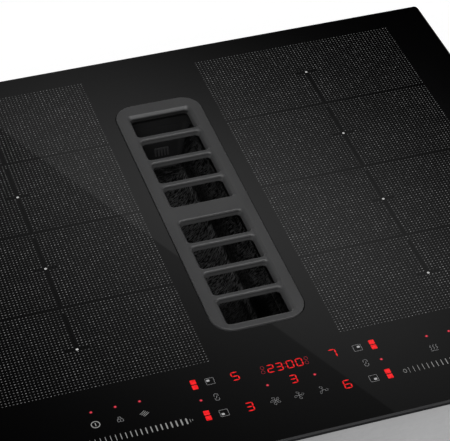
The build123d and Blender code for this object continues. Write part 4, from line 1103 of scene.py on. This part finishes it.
stator = Finish("laminated_stator")
_, _, z = stator.along(stator.place())
sheets_per_metre = 2000.0
sheets = abs(((z * sheets_per_metre) % 1.0) - 0.5) * 2.0
upright = stator.place(scale=(0.0006, 0.0006, 0.006))
around = stator.clouds(1.0, points=upright)
copper = stator.ramp(around, (0.3, (0.25, 0.1, 0.05)), (0.7, (0.45, 0.2, 0.1)))
stator.surface(
    base_color=stator.mix(stator.between(sheets, 0.1, 0.3), 0.03, copper),
    metallic=0.7,
    roughness=0.35 + around * 0.2,
    normal=stator.raised(sheets, 0.0002),
)
dress(stator, "motor_stator")

bearing_steel = streaked_metal(
    "bearing_steel", (0.0008, 0.0008, 0.01), (0.45, 0.45, 0.46), (0.62, 0.62, 0.63)
)
dress(bearing_steel, "motor_bearings", "motor_shaft")

# ----- Outlet spigot and flaps
# The flat outlet takes a 220 by 90 duct. Two light flaps swing on one steel rod and fall shut when
# the fan stops, so that no cold air comes back.

dress(box_plastic, "outlet_spigot")
dress(moulded("flap_plastic", (0.02, 0.02, 0.021), (0.04, 0.04, 0.041), 0.38), "flap_upper", "flap_lower")
dress(bearing_steel, "flap_rod")

# ----- Clips and screws
# Spring steel clips on the tub's sides grip the worktop from below. Pan-head screws hold them, the
# two halves of the air box and the motor mount.

spring_steel = streaked_metal("spring_steel", (0.0008, 0.02, 0.02), (0.30, 0.30, 0.31), (0.48, 0.48, 0.49))
dress(spring_steel, "worktop_clips")
zinc_screws = streaked_metal(
    "zinc_screws", (0.0012, 0.0012, 0.0012), (0.44, 0.44, 0.45), (0.64, 0.64, 0.65)
)
dress(zinc_screws, "pan_head_screws")

# ----- Studio
# The cooktop stands on a pale floor under a wide soft lamp. The glass mirrors a dark ceiling with
# two soft glows that meet at a straight edge, and one patch overhead makes the grille's bars shine.

floor_level = -0.2051
bpy.ops.mesh.primitive_plane_add(size=60, location=(0, 0, floor_level))
studio_floor = bpy.context.object
studio_floor.name = "studio_floor"
pale = Finish("pale_floor")
seen = pale.mirrored_or_seen()
plain = pale.node("BsdfDiffuse", {"Color": 0.8})
glow = pale.node("Emission", {"Color": (1, 1, 1), "Strength": 0.48 * seen})
both = pale.node("AddShader", {0: plain, 1: glow})
pale.node("OutputMaterial", {"Surface": both})
studio_floor.data.materials.append(pale.material)

ceiling_height = 2.0
eye = Vector((-0.41582, -1.23230, 1.12698))
rise = eye.z - glass_level
bpy.ops.mesh.primitive_plane_add(size=24, location=(0, 0, glass_level + ceiling_height))
ceiling = bpy.context.object
ceiling.name = "studio_ceiling"
for kind in ("camera", "diffuse", "shadow", "transmission"):
    setattr(ceiling, "visible_" + kind, False)
panel = Finish("studio_panels")
east, north, _ = panel.along(panel.place())
# the spot on the glass at which the photo's camera sees each spot of the ceiling, in units of 0.1 m
spread = 1 + ceiling_height / rise
spot_x = (east + (spread - 1) * eye.x) / spread * 10
spot_y = (north + (spread - 1) * eye.y) / spread * 10
# what share of the ceiling's light the glass sends on to the camera
glass_mirror = 0.055


def soft_glow(centre_x, centre_y, forms, seen_light):
    """An uneven round glow, as light as it is to be seen in the glass at its centre."""
    off_x = spot_x - centre_x
    off_y = spot_y - centre_y
    fall = off_x * off_x * forms[0] + off_x * off_y * forms[1] + off_y * off_y * forms[2]
    return math.e ** (-fall) * (seen_light / glass_mirror)


right_glow = soft_glow(-0.003, 0.079, (0.2794, 0.2042, 0.1805), 0.0275)
left_glow = soft_glow(0.227, 0.196, (0.2346, 0.1248, 0.1626), 0.0192)
past_edge = panel.between(spot_x * 0.903 + spot_y * 0.4296 + 0.517, -0.004, 0.004)
overhead = panel.between(abs(north + 0.42), 0.52, 0.40) * panel.between(abs(east - 0.5), 1.6, 1.4)
strength = right_glow * past_edge + left_glow * (1 - past_edge) + overhead * 3.3 + 0.001
panel_light = panel.node("Emission", {"Strength": strength})
panel.node("OutputMaterial", {"Surface": panel_light})
ceiling.data.materials.append(panel.material)

world = bpy.data.worlds.new("studio")
bpy.context.scene.world = world
world.use_nodes = True
room = Finish("studio", world.node_tree)
seen = room.mirrored_or_seen()
sky = room.node("Background", {"Color": (1, 1, 1), "Strength": 0.55 + 0.45 * seen})
room.node("OutputWorld", {"Surface": sky})

# a square soft lamp, placed where the flat glass doesn't mirror it to the camera
lamp_place = Vector((-0.9, -1.6, 2.2))
bpy.ops.object.light_add(type="AREA", location=lamp_place)
lamp = bpy.context.object
lamp.name = "key_lamp"
lamp.data.shape = "SQUARE"
lamp.data.size = 1.6
lamp.data.energy = 22
lamp.rotation_euler = (Vector((0, 0, 0)) - lamp_place).to_track_quat("-Z", "Y").to_euler()

azimuth = math.radians(-19.069)
elevation = math.radians(40.640)
roll = math.radians(1.055)
sideways = math.sin(azimuth) * math.cos(elevation)
forward = -math.cos(azimuth) * math.cos(elevation)
outward = Vector((sideways, forward, math.sin(elevation)))
level_right = (-outward).cross(Vector((0, 0, 1))).normalized()
level_up = level_right.cross(-outward)
view_right = level_right * math.cos(roll) + level_up * math.sin(roll)
view_up = level_up * math.cos(roll) - level_right * math.sin(roll)
bpy.ops.object.camera_add(location=eye)
camera = bpy.context.object
camera.name = "camera"
camera.rotation_euler = Matrix((view_right, view_up, outward)).transposed().to_euler()
camera.data.sensor_fit = "HORIZONTAL"
camera.data.sensor_width = 36
camera.data.lens = 157.135
camera.data.clip_end = 100
bpy.context.scene.camera = camera
bpy.context.scene.view_settings.view_transform = "Standard"
